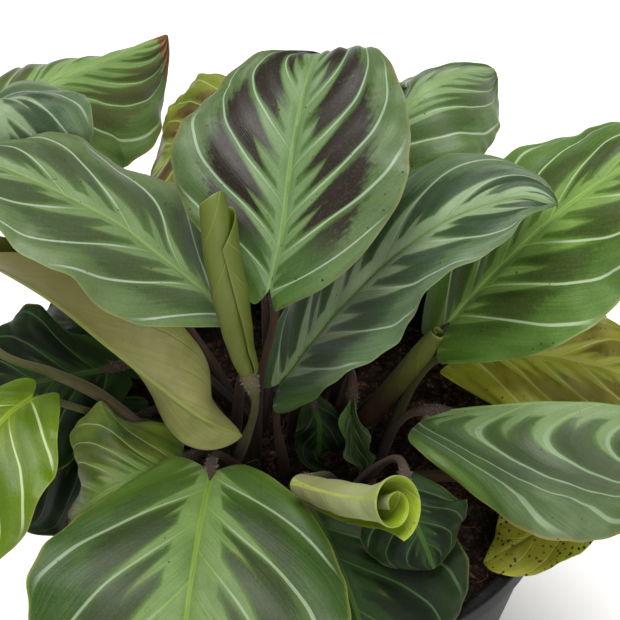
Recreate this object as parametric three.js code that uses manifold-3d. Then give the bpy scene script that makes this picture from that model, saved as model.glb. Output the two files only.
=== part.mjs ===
// A potted prayer plant (Maranta) in a round black nursery pot.
// Millimetres, +Z up. The origin is the centre of the pot's flat bottom; the plant is seen
// from -Y. Each leaf with its stalk is one solid that stands in its own hole in the soil.

import * as THREE from 'three';
import { mergeVertices } from 'three/addons/utils/BufferGeometryUtils.js';
import Module from 'manifold-3d';

const wasm = await Module();
wasm.setup();

// Driving dimensions

const POT_HEIGHT = 115;
const POT_RIM_RADIUS = 70;
const POT_BASE_RADIUS = 50;
const POT_WALL = 1.6;
const POT_FOOT_CHAMFER = 2;
const RIM_BAND_HEIGHT = 9;
const RIM_BAND_WIDTH = 3.6;
const RIM_ROUNDING = 1.2;
const RIM_STEP = 0.4;
const RIM_INNER_RADIUS = POT_RIM_RADIUS - RIM_BAND_WIDTH;
const WALL_TOP_Z = POT_HEIGHT - RIM_BAND_HEIGHT - 1;
const WALL_TOP_RADIUS = RIM_INNER_RADIUS - RIM_STEP;
const POT_SIDES = 40;

const DRAIN_HOLES = 8;
const DRAIN_HOLE_RADIUS = 4;
const DRAIN_RING_RADIUS = 37;
const DRAIN_HOLE_SIDES = 10;

const SOIL_LEVEL = POT_HEIGHT - 12;
const SOIL_MOUND = 3;
const SOIL_LUMPS = 1.2;
const SOIL_RINGS = 8;
const SOIL_SIDES = 32;
const CLEARANCE = 0.3;

const BLADE_THICKNESS = 0.7;
const MIDRIB_THICKNESS = 1.5;
const BLADE_ROWS = 9;
const BLADE_COLUMNS = 6;
const SPINE_STEP = 0.004;

// The blade's outline: where it is widest and how its base and tip narrow.
const WIDEST = 0.42;
const BASE_NARROWING = 0.72;
const BASE_POWER = 1.9;
const TIP_POWER = 2.2;
const TIP_FULLNESS = 0.75;
const TIP_WIDTH = 0.03;
const LOBE_LENGTH = 0.3;
const WAVE_SHIFT = 0.37;

// A rolled leaf: the step between its turns, its tightest turn and how its sheet ends.
const ROLL_PITCH = 1.5;
const ROLL_INNER_RADIUS = 0.7;
const ROLL_FULL_FROM = 0.45;
const ROLL_FULL_TO = 0.75;

const STALK_SIDES = 6;
const STALK_STEPS = 7;
const ROUTED_STALK_STEPS = 11;
const STALK_FOOT = SOIL_LEVEL - 11;
const STRAIGHT_FOOT = 16;
const SHEATH_RADIUS = 1.6;
const SHEATH_END = 0.45;
const STALK_RADIUS = 1.1;
const SLIM_FROM = 0.65;
const JOINT_RADIUS = 1.6;
const ROLLED_JOINT_RADIUS = 2.6;
const JOINT_LENGTH = 9;
const JOINT_DROP = 0.5;
const JOINT_OVERLAP = 2.5;

// Materials

const finish = (color, roughness) =>
  new THREE.MeshStandardMaterial({ color, roughness, metalness: 0, side: THREE.DoubleSide });

const MATERIALS = {
  pot: finish(0x1d1d1f, 0.5),
  soil: finish(0x2b1f17, 1.0),
  green: finish(0x5c7f45, 0.55),
  blueGreen: finish(0x4c6e52, 0.5),
  bright: finish(0x5f8f33, 0.5),
  lime: finish(0x88ab2e, 0.5),
  olive: finish(0x7d8a35, 0.55),
  cream: finish(0xa5a463, 0.55),
  dark: finish(0x33502f, 0.55),
};

// Small geometry helpers

function solidFrom(geometry) {
  const plain = geometry.clone();
  for (const name of Object.keys(plain.attributes)) {
    if (name !== 'position') plain.deleteAttribute(name);
  }
  const merged = mergeVertices(plain, 1e-4);
  return new wasm.Manifold(new wasm.Mesh({
    numProp: 3,
    vertProperties: new Float32Array(merged.attributes.position.array),
    triVerts: new Uint32Array(merged.index.array),
  }));
}

function geometryFrom(solid) {
  const mesh = solid.getMesh();
  const geometry = new THREE.BufferGeometry();
  geometry.setAttribute('position', new THREE.BufferAttribute(new Float32Array(mesh.vertProperties), 3));
  geometry.setIndex(new THREE.BufferAttribute(new Uint32Array(mesh.triVerts), 1));
  geometry.computeVertexNormals();
  return geometry;
}

function indexedGeometry(points, triangles) {
  const geometry = new THREE.BufferGeometry();
  geometry.setAttribute('position', new THREE.Float32BufferAttribute(points.flatMap((p) => p.toArray()), 3));
  geometry.setIndex(triangles.flat());
  return geometry;
}

// A closed tube along a list of points, with its own radius at each point.
function tube(path, radii, sides) {
  const points = [];
  const triangles = [];
  let side = new THREE.Vector3(1, 0, 0);
  path.forEach((centre, i) => {
    const along = path[Math.min(i + 1, path.length - 1)].clone().sub(path[Math.max(i - 1, 0)]).normalize();
    side.addScaledVector(along, -side.dot(along)).normalize();
    const across = along.clone().cross(side);
    for (let k = 0; k < sides; k++) {
      const angle = (2 * Math.PI * k) / sides;
      points.push(centre.clone()
        .addScaledVector(side, radii[i] * Math.cos(angle))
        .addScaledVector(across, radii[i] * Math.sin(angle)));
    }
  });
  for (let i = 0; i < path.length - 1; i++) {
    for (let k = 0; k < sides; k++) {
      const a = i * sides + k;
      const b = i * sides + ((k + 1) % sides);
      triangles.push([a, b, b + sides], [a, b + sides, a + sides]);
    }
  }
  const last = (path.length - 1) * sides;
  for (let k = 1; k < sides - 1; k++) {
    triangles.push([0, k + 1, k], [last, last + k, last + k + 1]);
  }
  return indexedGeometry(points, triangles);
}

// Pot

function potSolid() {
  const profile = [
    [0, 0], [POT_BASE_RADIUS - POT_FOOT_CHAMFER, 0], [POT_BASE_RADIUS, POT_FOOT_CHAMFER],
    [WALL_TOP_RADIUS + POT_WALL, WALL_TOP_Z], [POT_RIM_RADIUS - RIM_STEP, WALL_TOP_Z + 1],
    [POT_RIM_RADIUS, POT_HEIGHT - RIM_ROUNDING], [POT_RIM_RADIUS - RIM_ROUNDING, POT_HEIGHT],
    [RIM_INNER_RADIUS + RIM_ROUNDING, POT_HEIGHT], [RIM_INNER_RADIUS, POT_HEIGHT - RIM_ROUNDING],
    [WALL_TOP_RADIUS, WALL_TOP_Z],
    [POT_BASE_RADIUS - POT_WALL, POT_WALL + POT_FOOT_CHAMFER],
    [POT_BASE_RADIUS - POT_WALL - POT_FOOT_CHAMFER, POT_WALL], [0, POT_WALL],
  ].map(([r, z]) => new THREE.Vector2(r, z));
  let pot = solidFrom(new THREE.LatheGeometry(profile, POT_SIDES).rotateX(Math.PI / 2));
  for (let i = 0; i < DRAIN_HOLES; i++) {
    const angle = (2 * Math.PI * (i + 0.5)) / DRAIN_HOLES;
    const [x, y] = [DRAIN_RING_RADIUS * Math.cos(angle), DRAIN_RING_RADIUS * Math.sin(angle)];
    const cutter = new THREE.CylinderGeometry(
      DRAIN_HOLE_RADIUS, DRAIN_HOLE_RADIUS, 3 * POT_WALL, DRAIN_HOLE_SIDES,
    );
    const hole = cutter.rotateX(Math.PI / 2).translate(x, y, POT_WALL / 2);
    pot = pot.subtract(solidFrom(hole));
  }
  return pot;
}

// Radius of the soil at a height: the wall's inside, less the clearance.
function soilRadius(z) {
  const floor = POT_WALL + POT_FOOT_CHAMFER;
  const share = (z - floor) / (WALL_TOP_Z - floor);
  return THREE.MathUtils.lerp(POT_BASE_RADIUS - POT_WALL, WALL_TOP_RADIUS, share) - CLEARANCE;
}

// Soil

// A low mound with lumps that fade out at the wall.
function soilHeight(x, y) {
  const share = Math.hypot(x, y) / POT_RIM_RADIUS;
  const lumps = Math.sin(0.19 * x + 1.3) * Math.cos(0.17 * y - 0.4) + 0.6 * Math.sin(0.33 * x - 0.29 * y);
  return SOIL_LEVEL - 1 + SOIL_MOUND * (1 - share ** 2) + SOIL_LUMPS * lumps * (1 - share ** 6);
}

function soilSolid(stalkFeet) {
  const floor = POT_WALL + CLEARANCE;
  const top = SOIL_LEVEL - 1;
  const profile = [
    [0, floor],
    [soilRadius(floor) - POT_FOOT_CHAMFER, floor],
    [soilRadius(floor + POT_FOOT_CHAMFER), floor + POT_FOOT_CHAMFER],
  ];
  for (let ring = SOIL_RINGS; ring >= 0; ring--) profile.push([(soilRadius(top) * ring) / SOIL_RINGS, top]);
  const points = profile.map(([r, z]) => new THREE.Vector2(r, z));
  const geometry = new THREE.LatheGeometry(points, SOIL_SIDES).rotateX(Math.PI / 2);
  const position = geometry.attributes.position;
  for (let i = 0; i < position.count; i++) {
    if (Math.abs(position.getZ(i) - top) > 1e-3) continue;
    position.setZ(i, soilHeight(position.getX(i), position.getY(i)));
  }
  let soil = solidFrom(geometry);
  const depth = 2 * (SOIL_LEVEL - STALK_FOOT);
  for (const [x, y] of stalkFeet) {
    const radius = SHEATH_RADIUS + CLEARANCE + 0.1;
    const hole = new THREE.CylinderGeometry(radius, radius, depth, STALK_SIDES)
      .rotateX(Math.PI / 2)
      .rotateZ(Math.PI / 2)
      .translate(x, y, STALK_FOOT - CLEARANCE + depth / 2);
    soil = soil.subtract(solidFrom(hole));
  }
  return soil;
}

// Leaf blades

// Half-width along the blade, 0 at the stalk and 1 at the tip, as a share of the widest.
function outline(v, baseNarrowing = BASE_NARROWING) {
  if (v < WIDEST) return 1 - baseNarrowing * ((WIDEST - v) / WIDEST) ** BASE_POWER;
  const narrowing = Math.min((v - WIDEST) / (1 - WIDEST), 1) ** TIP_POWER;
  return Math.max((1 - narrowing) ** TIP_FULLNESS, TIP_WIDTH);
}

// How much of its sheet a rolled leaf has at v: at its foot, along its middle, at its end.
function rolledOutline(v, [foot, full, end]) {
  if (v < ROLL_FULL_TO) return foot + (full - foot) * Math.min(v / ROLL_FULL_FROM, 1) ** 0.8;
  return full + (end - full) * ((v - ROLL_FULL_TO) / (1 - ROLL_FULL_TO)) ** 1.5;
}

// A number that may change from the stalk (first) to the tip (second).
const along = (value, v) => (Array.isArray(value) ? value[0] + (value[1] - value[0]) * v : value);

const radians = THREE.MathUtils.degToRad;

// Curve through hand-placed points, with a frame at each v: forward, up and right.
function spineFrames(leaf, steps) {
  const points = leaf.spine.map((p) => new THREE.Vector3(...p));
  const curve = new THREE.CatmullRomCurve3(points, false, 'catmullrom', 0.5);
  curve.arcLengthDivisions = 240;
  return steps.map((v) => {
    const centre = curve.getPointAt(v);
    const ahead = curve.getPointAt(Math.min(v + SPINE_STEP, 1))
      .sub(curve.getPointAt(Math.max(v - SPINE_STEP, 0))).normalize();
    const up = new THREE.Vector3(0, 0, 1).addScaledVector(ahead, -ahead.z).normalize();
    const right = ahead.clone().cross(up);
    const roll = radians((leaf.roll ?? 0) + (leaf.twist ?? 0) * v);
    const rolledRight = right.clone().multiplyScalar(Math.cos(roll)).addScaledVector(up, -Math.sin(roll));
    const rolledUp = up.clone().multiplyScalar(Math.cos(roll)).addScaledVector(right, Math.sin(roll));
    return { centre, ahead, up: rolledUp, right: rolledRight };
  });
}

// One half of the cross-section at arc length s from the midrib: out, up and slope.
function section(s, fold, curl, half) {
  const start = radians(fold);
  const bend = radians(curl) / half;
  if (Math.abs(bend) < 1e-5) return [s * Math.cos(start), s * Math.sin(start), start];
  const slope = start + bend * s;
  return [(Math.sin(slope) - Math.sin(start)) / bend, (Math.cos(start) - Math.cos(slope)) / bend, slope];
}

// A point of an open blade; u runs from -1 at the left margin to 1 at the right one.
function openPoint(leaf, frame, u, v) {
  const half = leaf.width / 2;
  const side = u < 0 ? 0 : 1;
  const fold = along(leaf.fold[side], v);
  const curl = along((leaf.curl ?? [0, 0])[side], v);
  const [out, lift, slope] = section(Math.abs(u) * outline(v, leaf.base) * half, fold, curl, half);
  const [height, count, phase] = leaf.wave;
  const wave = height * Math.abs(u) ** 3 * Math.sin(2 * Math.PI * (count * v + phase + WAVE_SHIFT * side));
  const lobe = leaf.lobe * Math.max(0, 1 - v / LOBE_LENGTH) ** 2 * Math.sin(0.75 * Math.PI * Math.abs(u));
  return frame.centre.clone()
    .addScaledVector(frame.right, (side ? 1 : -1) * (out - wave * Math.sin(slope)))
    .addScaledVector(frame.up, lift + wave * Math.cos(slope))
    .addScaledVector(frame.ahead, -lobe);
}

// A point of a rolled blade: the sheet winds outward about the spine.
function rolledPoint(leaf, frame, u, v) {
  const sweep = 2 * Math.PI * leaf.turns;
  const share = rolledOutline(v, leaf.taper);
  const length = leaf.width * share;
  const growth = (leaf.pitch ? leaf.pitch * share : ROLL_PITCH) / (2 * Math.PI);
  const inner = Math.max((length - (growth * sweep * sweep) / 2) / sweep, ROLL_INNER_RADIUS);
  const s = ((u + 1) / 2) * (inner * sweep + (growth * sweep * sweep) / 2);
  const turn = (Math.sqrt(inner * inner + 2 * growth * s) - inner) / growth;
  const radius = inner + growth * turn;
  return frame.centre.clone()
    .addScaledVector(frame.right, radius * Math.cos(turn))
    .addScaledVector(frame.up, radius * Math.sin(turn));
}

// The blade's grid of points, thickened both ways into one closed sheet.
function bladeSolid(leaf) {
  const rows = leaf.rows ?? BLADE_ROWS;
  const columns = leaf.columns ?? BLADE_COLUMNS;
  const steps = Array.from({ length: rows + 1 }, (_, i) => i / rows);
  const frames = spineFrames(leaf, steps);
  const grid = frames.map((frame, i) => Array.from({ length: columns + 1 }, (_, j) => {
    const u = -1 + (2 * j) / columns;
    return leaf.turns ? rolledPoint(leaf, frame, u, steps[i]) : openPoint(leaf, frame, u, steps[i]);
  }));
  const at = (i, j) => grid[THREE.MathUtils.clamp(i, 0, rows)][THREE.MathUtils.clamp(j, 0, columns)];
  const points = [];
  for (const face of [1, -1]) {
    for (let i = 0; i <= rows; i++) {
      for (let j = 0; j <= columns; j++) {
        const across = at(i, j + 1).clone().sub(at(i, j - 1));
        const ahead = at(i + 1, j).clone().sub(at(i - 1, j));
        const normal = across.cross(ahead).normalize();
        const midrib = !leaf.turns && face < 0 && j === columns / 2;
        const offset = midrib ? MIDRIB_THICKNESS - BLADE_THICKNESS / 2 : BLADE_THICKNESS / 2;
        points.push(at(i, j).clone().addScaledVector(normal, face * offset));
      }
    }
  }
  const under = (rows + 1) * (columns + 1);
  const id = (i, j) => i * (columns + 1) + j;
  const triangles = [];
  for (let i = 0; i < rows; i++) {
    for (let j = 0; j < columns; j++) {
      const [a, b, c, d] = [id(i, j), id(i, j + 1), id(i + 1, j + 1), id(i + 1, j)];
      triangles.push([a, b, c], [a, c, d]);
      triangles.push([under + a, under + c, under + b], [under + a, under + d, under + c]);
    }
  }
  const rim = (a, b) => triangles.push([a, under + b, b], [a, under + a, under + b]);
  for (let j = 0; j < columns; j++) {
    rim(id(0, j), id(0, j + 1));
    rim(id(rows, j + 1), id(rows, j));
  }
  for (let i = 0; i < rows; i++) {
    rim(id(i, columns), id(i + 1, columns));
    rim(id(i + 1, 0), id(i, 0));
  }
  return solidFrom(indexedGeometry(points, triangles));
}

// Leaf stalks

// From the soil: a wide sheath, a slim stalk, then the swollen joint under the blade.
function stalkSolid(leaf) {
  const [base] = spineFrames(leaf, [0]);
  const [x, y] = leaf.foot;
  const jointRadius = leaf.turns ? ROLLED_JOINT_RADIUS : JOINT_RADIUS;
  const under = base.centre.clone().addScaledVector(base.up, -JOINT_DROP);
  const jointStart = leaf.join
    ? base.centre.clone().add(new THREE.Vector3(...leaf.join))
    : under.clone().addScaledVector(base.ahead, -JOINT_LENGTH);
  const route = [
    new THREE.Vector3(x, y, STALK_FOOT),
    new THREE.Vector3(x, y, STALK_FOOT + STRAIGHT_FOOT / 2),
    new THREE.Vector3(x, y, STALK_FOOT + STRAIGHT_FOOT),
    ...(leaf.via ?? []).map((p) => new THREE.Vector3(...p)),
    jointStart,
    under.clone().addScaledVector(base.ahead, JOINT_OVERLAP),
  ];
  const curve = new THREE.CatmullRomCurve3(route);
  curve.arcLengthDivisions = 240;
  const length = curve.getLength();
  const straight = STRAIGHT_FOOT / length;
  const steps = leaf.via ? ROUTED_STALK_STEPS : STALK_STEPS;
  const path = [];
  const radii = [];
  for (let i = 0; i <= steps; i++) {
    const t = i === 0 ? 0 : Math.min(straight + ((1 - straight) * (i - 1)) / (steps - 1), 1);
    const slim = THREE.MathUtils.smoothstep(t, SHEATH_END, SLIM_FROM);
    path.push(curve.getPointAt(t));
    radii.push((1 - t) * length < JOINT_LENGTH + 1
      ? jointRadius
      : THREE.MathUtils.lerp(SHEATH_RADIUS, STALK_RADIUS, slim));
  }
  return solidFrom(tube(path, radii, STALK_SIDES));
}

// The leaves

// foot: where the stalk leaves the soil. spine: the midrib from the stalk to the tip.
// via: points the stalk passes on its way. join: where its swollen joint starts, from the
// blade's base. roll and twist turn the blade about the midrib; fold and curl are
// [left, right] angles, and a pair there runs from the base to the tip. wave is the margin's
// height, count and phase; lobe is how far the base reaches back and base is how much it
// narrows. A rolled leaf has turns, taper says how much of its sheet there is at its foot,
// middle and end, and pitch is the step between the turns of a loosely rolled one.
const LEAVES = {
  leaf_upright: {
    foot: [-16, 4], width: 64, roll: -5, twist: -14, fold: [10, 10], curl: [-15, -15],
    wave: [2, 2.5, 0.0], lobe: 5, base: 0.84, look: 'green',
    join: [1, -1, -9],
    via: [[-15, 3, 135]],
    spine: [
      [-11, 1, 177], [-8, 9, 188], [-5.5, 26, 200],
      [-2.5, 42, 207], [0.5, 55, 208], [3, 64, 203],
    ],
  },
  leaf_right_folded: {
    foot: [-8, -4], width: 49, fold: [10, 5], curl: [-10, 0], wave: [2, 2.5, 0.3], lobe: 6,
    look: 'blueGreen',
    join: [-1, -3, -8],
    spine: [[-9, 3, 137], [5, 8, 158], [20, 12, 176], [35, 14, 189], [52, 14, 197], [62, 11, 197]],
  },
  leaf_left_large: {
    foot: [-22, 6], width: 58, fold: [16, -6], curl: [-10, -20], wave: [2, 2.5, 0.1], lobe: 6,
    base: 0.94, look: 'green',
    join: [5, -1, -8],
    via: [[-20, 5, 135]],
    spine: [
      [-22, 3, 164], [-29, 5, 172], [-40, 9, 181], [-51, 14, 188],
      [-67, 19, 195], [-80, 23, 199], [-94, 28, 199],
    ],
  },
  leaf_rear_left_pointed: {
    foot: [-20, 15], width: 64, roll: 30, twist: 22, fold: [[5, -110], 0], curl: [[-110, -30], 0],
    wave: [2, 2.5, 0.2], lobe: 6, look: 'green',
    spine: [
      [-89, 69, 172], [-84, 76, 175], [-76, 82, 178], [-68, 89, 178],
      [-60, 95, 177], [-52, 103, 175], [-44, 110, 174],
    ],
  },
  leaf_rear_left_arching: {
    foot: [-25, 12], width: 54, fold: [0, 4], curl: [-20, -30], wave: [0.5, 2.5, 0.0], lobe: 0,
    base: 0.4, look: 'blueGreen',
    spine: [
      [-93, 57, 178], [-90, 56, 188], [-87, 51, 196],
      [-85, 45, 195], [-84, 38, 183], [-83, 34, 168],
    ],
  },
  leaf_rear_olive: {
    foot: [-14, 14], width: 44, fold: [0, 12], curl: [-20, -10], wave: [1, 2.5, 0.0], lobe: 6,
    look: 'olive',
    spine: [[-16, 69, 174], [-25, 70, 174], [-34, 70, 168], [-42, 70, 160], [-48, 71, 150]],
  },
  leaf_rear_right: {
    foot: [0, 16], width: 48, roll: 5, twist: 35, fold: [-50, 0], curl: [-30, -10], wave: [1, 2.5, 0.0],
    lobe: 6, look: 'green',
    spine: [[14, 52, 172], [20, 51, 186], [30, 56, 197], [40, 66, 195], [52, 80, 185]],
  },
  leaf_right_large: {
    foot: [16, 10], width: 60, fold: [-8, -10], curl: [0, -10], wave: [2, 2.5, 0.0], lobe: 6,
    look: 'bright',
    spine: [[35, 8, 153], [48, 13, 170], [65, 19, 188], [80, 23, 199], [94, 28, 202]],
  },
  leaf_right_yellowing: {
    foot: [21, 5], width: 38, roll: 25, fold: [0, 0], wave: [2, 2.5, 0.0], lobe: 6, look: 'olive',
    spine: [[41, 9, 141], [50, 6, 146], [59, 4, 148], [72, 2, 147], [84, 3, 141], [96, 4, 131]],
  },
  leaf_right_drooping: {
    foot: [19, -2], width: 72, roll: 4, fold: [-75, -22], curl: [0, -15], wave: [2, 2.5, 0.0], lobe: 9,
    look: 'green',
    spine: [[34, -12, 144], [59, -20, 157], [79, -24, 160], [97, -28, 157], [110, -31, 147]],
  },
  leaf_front_large: {
    foot: [-14, -12], width: 81, roll: -3, fold: [8, 5], curl: [-20, -20], wave: [2, 2.5, 0.0], lobe: 4,
    look: 'green',
    spine: [[-27, -24, 132], [-29, -47, 138], [-31, -71, 137], [-34, -93, 122], [-37, -107, 97]],
  },
  leaf_left_ribbed: {
    foot: [-22, -9], width: 48, roll: -25, fold: [-20, -8], wave: [2, 2.5, 0.0], lobe: 6, base: 0.55,
    look: 'green',
    spine: [[-36, -18, 129], [-45, -26, 133], [-54, -30, 132], [-61, -31, 126], [-66, -29, 120]],
  },
  leaf_left_lime: {
    foot: [-28, 1], width: 42, fold: [0, 0], wave: [2, 2.5, 0.0], lobe: 6, look: 'lime',
    join: [3, 5, -7],
    via: [[-43, -2, 124], [-58, -4, 132]],
    spine: [[-74, -13, 150], [-80, -23, 153], [-86, -35, 150], [-91, -47, 141], [-94, -54, 126]],
  },
  leaf_left_low: {
    foot: [-36, 4], width: 50, roll: 8, fold: [0, 0], wave: [2, 2.5, 0.0], lobe: 6, rows: 7,
    look: 'dark',
    spine: [[-50, 5, 119], [-62, -2, 119], [-74, -10, 115], [-84, -16, 101]],
  },
  leaf_left_shaded: {
    foot: [-29, 8], width: 50, roll: -10, fold: [-25, 0], wave: [2, 2.5, 0.0], lobe: 6, look: 'dark',
    spine: [[-57, 11, 134], [-67, 6, 137], [-78, 3, 137], [-90, 2, 131], [-100, 2, 122]],
  },
  leaf_unrolling: {
    foot: [-28, -6], width: 36, roll: -20, twist: -130, fold: [20, 20], curl: [60, 60],
    wave: [0, 2.5, 0.0], lobe: 3, look: 'cream',
    via: [[-42, -7, 124], [-58, -4, 141], [-69, -6, 152], [-82, -8, 163], [-91, 2, 173]],
    spine: [
      [-90, 14, 178], [-69, 4, 171], [-53, -6, 163],
      [-40, -13, 155], [-29, -16, 145], [-19, -13, 134],
    ],
  },
  leaf_rolled_upright: {
    foot: [-22, -4], width: 34, turns: 1.25, taper: [0.5, 1.0, 0.8], rows: 7, columns: 10, look: 'lime',
    spine: [
      [-17, -11, 158], [-19, -9, 166], [-21, -6, 180],
      [-23, -1, 191], [-24, 4, 200], [-25, 10, 205],
    ],
  },
  leaf_rolled_front: {
    foot: [6, -9], width: 62, turns: 1.8, taper: [0.4, 0.66, 1.0], pitch: 4, rows: 8, columns: 14,
    look: 'cream',
    join: [3, 7, -6],
    spine: [[-4, -35, 141], [3, -42, 146], [12, -50, 153], [20, -57, 162]],
  },
  leaf_rolled_shoot: {
    foot: [12, 3], width: 20, turns: 1.2, taper: [0.9, 1.0, 0.6], rows: 7, columns: 10, look: 'olive',
    spine: [[15, 3, 122], [24, 1, 142], [33, 0, 162]],
  },
  leaf_front_right: {
    foot: [2, -17], width: 64, fold: [0, 0], wave: [2, 2.5, 0.0], lobe: 3, look: 'bright',
    spine: [[-1, -30, 126], [4, -43, 128], [9, -57, 127], [14, -70, 119], [18, -78, 102]],
  },
  leaf_small_round: {
    foot: [11, -13], width: 30, fold: [0, -30], wave: [1, 2.5, 0.0], lobe: 4, rows: 6, columns: 4,
    look: 'green',
    spine: [[24, -36, 142], [25, -44, 142], [28, -50, 138], [31, -54, 131]],
  },
  leaf_small_yellow: {
    foot: [24, -8], width: 24, fold: [0, 0], wave: [1, 2.5, 0.0], lobe: 4, rows: 6, columns: 4,
    look: 'lime',
    spine: [[77, -28, 124], [66, -33, 124], [54, -38, 119], [46, -39, 112]],
  },
  leaf_small_folded: {
    foot: [6, 8], width: 18, fold: [65, 65], wave: [1, 2.5, 0.0], lobe: 2, rows: 6, columns: 4,
    look: 'green',
    spine: [[11, 4, 127], [11, 0, 121], [12, -4, 114], [14, -7, 109]],
  },
  leaf_inner_hanging: {
    foot: [-6, 9], width: 15, fold: [0, 0], wave: [1, 2.5, 0.0], lobe: 3, rows: 6, columns: 4,
    look: 'dark',
    spine: [[0, 6, 125], [2, 1, 121], [2, -2, 113], [3, -2, 107]],
  },
  leaf_back_left: {
    foot: [-23, 20], width: 48, fold: [8, 8], curl: [-10, -10], wave: [2, 2.5, 0.3], lobe: 6, rows: 7,
    look: 'green',
    spine: [[-46, 50, 128], [-58, 64, 134], [-70, 78, 130], [-78, 90, 118]],
  },
  leaf_back_centre: {
    foot: [-12, 22], width: 54, fold: [8, 8], curl: [-10, -10], wave: [2, 2.5, 0.6], lobe: 6, rows: 7,
    look: 'green',
    spine: [[-14, 55, 150], [-13, 75, 158], [-12, 98, 152], [-10, 118, 134]],
  },
  leaf_back_right: {
    foot: [6, 22], width: 50, fold: [8, 8], curl: [-10, -10], wave: [2, 2.5, 0.1], lobe: 6, rows: 7,
    look: 'green',
    spine: [[22, 45, 142], [33, 58, 148], [46, 74, 142], [56, 90, 122]],
  },
  leaf_back_right_low: {
    foot: [14, 17], width: 48, fold: [8, 8], curl: [-10, -10], wave: [2, 2.5, 0.4], lobe: 6, rows: 7,
    look: 'green',
    spine: [[42, 26, 132], [56, 38, 138], [70, 48, 132], [82, 56, 114]],
  },
  leaf_back_left_low: {
    foot: [-31, 13], width: 42, fold: [8, 8], curl: [-10, -10], wave: [2, 2.5, 0.9], lobe: 6, rows: 7,
    look: 'dark',
    spine: [[-52, 26, 122], [-66, 34, 126], [-78, 42, 119], [-88, 48, 105]],
  },
  leaf_back_centre_low: {
    foot: [-2, 24], width: 46, fold: [8, 8], curl: [-10, -10], wave: [2, 2.5, 0.2], lobe: 6, rows: 7,
    look: 'dark',
    spine: [[2, 48, 128], [6, 64, 134], [12, 82, 126], [16, 94, 106]],
  },
};

// Assembly

const group = new THREE.Group();
group.name = 'potted_prayer_plant';

function place(name, solid, material) {
  const mesh = new THREE.Mesh(geometryFrom(solid), material);
  mesh.name = name;
  group.add(mesh);
}

const stalkFeet = Object.values(LEAVES).map((leaf) => leaf.foot);

place('pot', potSolid(), MATERIALS.pot);
place('soil', soilSolid(stalkFeet), MATERIALS.soil);
for (const [name, leaf] of Object.entries(LEAVES)) {
  place(name, bladeSolid(leaf).add(stalkSolid(leaf)), MATERIALS[leaf.look]);
}

export default group;
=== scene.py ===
# %% [markdown]
# # A prayer plant in a nursery pot
# A prayer plant grows from one clump: each leaf is a blade on a thin stalk, with a small swollen joint
# between. The script follows the plant's own order: the pot, the soil, the leaves and stalks, their
# hairs, then the light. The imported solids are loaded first, because every finer piece takes the place
# of one.

import math

import bmesh
import bpy
import numpy as np
from mathutils import Matrix, Vector


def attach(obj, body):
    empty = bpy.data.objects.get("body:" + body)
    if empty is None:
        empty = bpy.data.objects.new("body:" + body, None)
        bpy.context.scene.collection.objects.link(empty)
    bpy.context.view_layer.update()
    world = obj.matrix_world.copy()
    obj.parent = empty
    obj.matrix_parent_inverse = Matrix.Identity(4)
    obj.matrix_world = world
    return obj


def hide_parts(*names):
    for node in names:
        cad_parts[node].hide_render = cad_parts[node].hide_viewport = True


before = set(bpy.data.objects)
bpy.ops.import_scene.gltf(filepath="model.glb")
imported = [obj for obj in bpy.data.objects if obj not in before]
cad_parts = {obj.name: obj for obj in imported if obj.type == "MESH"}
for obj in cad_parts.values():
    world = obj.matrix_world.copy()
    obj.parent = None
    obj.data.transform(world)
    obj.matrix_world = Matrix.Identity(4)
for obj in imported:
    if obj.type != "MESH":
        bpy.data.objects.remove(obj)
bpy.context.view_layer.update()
print("solids:", len(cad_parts))


# %% [markdown]
# ## Helpers for meshes and colours
# Sizes are easiest to read in millimetres, so points are written in them and turned to metres in one
# place. Colours are easiest to compare with a picture as 0 to 255 values, but a shader wants linear
# light. One helper does each of these jobs, so no later cell has to think about them again.

# %% Make a mesh from points in millimetres
MM = 0.001


def place_object(name, data):
    piece = bpy.data.objects.new(name, data)
    bpy.context.scene.collection.objects.link(piece)
    return piece


def smooth(mesh, sharp_angle):
    mesh.shade_smooth()
    mesh.set_sharp_from_angle(angle=math.radians(sharp_angle))


def mesh_object(name, points, faces, materials, sharp_angle=55):
    mesh = bpy.data.meshes.new(name)
    mesh.from_pydata([tuple(p) for p in np.asarray(points) * MM], [], faces)
    for material in materials:
        mesh.materials.append(material)
    smooth(mesh, sharp_angle)
    return place_object(name, mesh)


def add_values(piece, name, values):
    layer = piece.data.attributes.new(name, "FLOAT", "POINT")
    layer.data.foreach_set("value", np.asarray(values, np.float32))


def triangle_count(piece):
    return sum(len(face.vertices) - 2 for face in piece.data.polygons)


# %% Turn picture colours into linear light
def tint(red, green, blue):
    linear = []
    for channel in (red, green, blue):
        share = channel / 255
        linear.append(share / 12.92 if share <= 0.04045 else ((share + 0.055) / 1.055) ** 2.4)
    return (*linear, 1.0)


# %% [markdown]
# ## A short way to write shader nodes
# A material is a graph of small steps. Wiring each step by hand hides the idea behind the wires. So a
# number in the graph is wrapped in a class that can be added and multiplied like a plain number, and a
# second class names the other steps. A pattern can then be read as a recipe from top to bottom.

# %% Numbers in a graph
class Value:
    """A number in a graph. A sum or product of such numbers becomes a Math node."""

    def __init__(self, paint, socket):
        self.paint = paint
        self.socket = socket

    def __add__(self, other):
        return self.paint.math("ADD", self, other)

    def __radd__(self, other):
        return self.paint.math("ADD", other, self)

    def __sub__(self, other):
        return self.paint.math("SUBTRACT", self, other)

    def __rsub__(self, other):
        return self.paint.math("SUBTRACT", other, self)

    def __mul__(self, other):
        return self.paint.math("MULTIPLY", self, other)

    def __rmul__(self, other):
        return self.paint.math("MULTIPLY", other, self)

    def __truediv__(self, other):
        return self.paint.math("DIVIDE", self, other)

    def __pow__(self, other):
        return self.paint.math("POWER", self, other)


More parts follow.
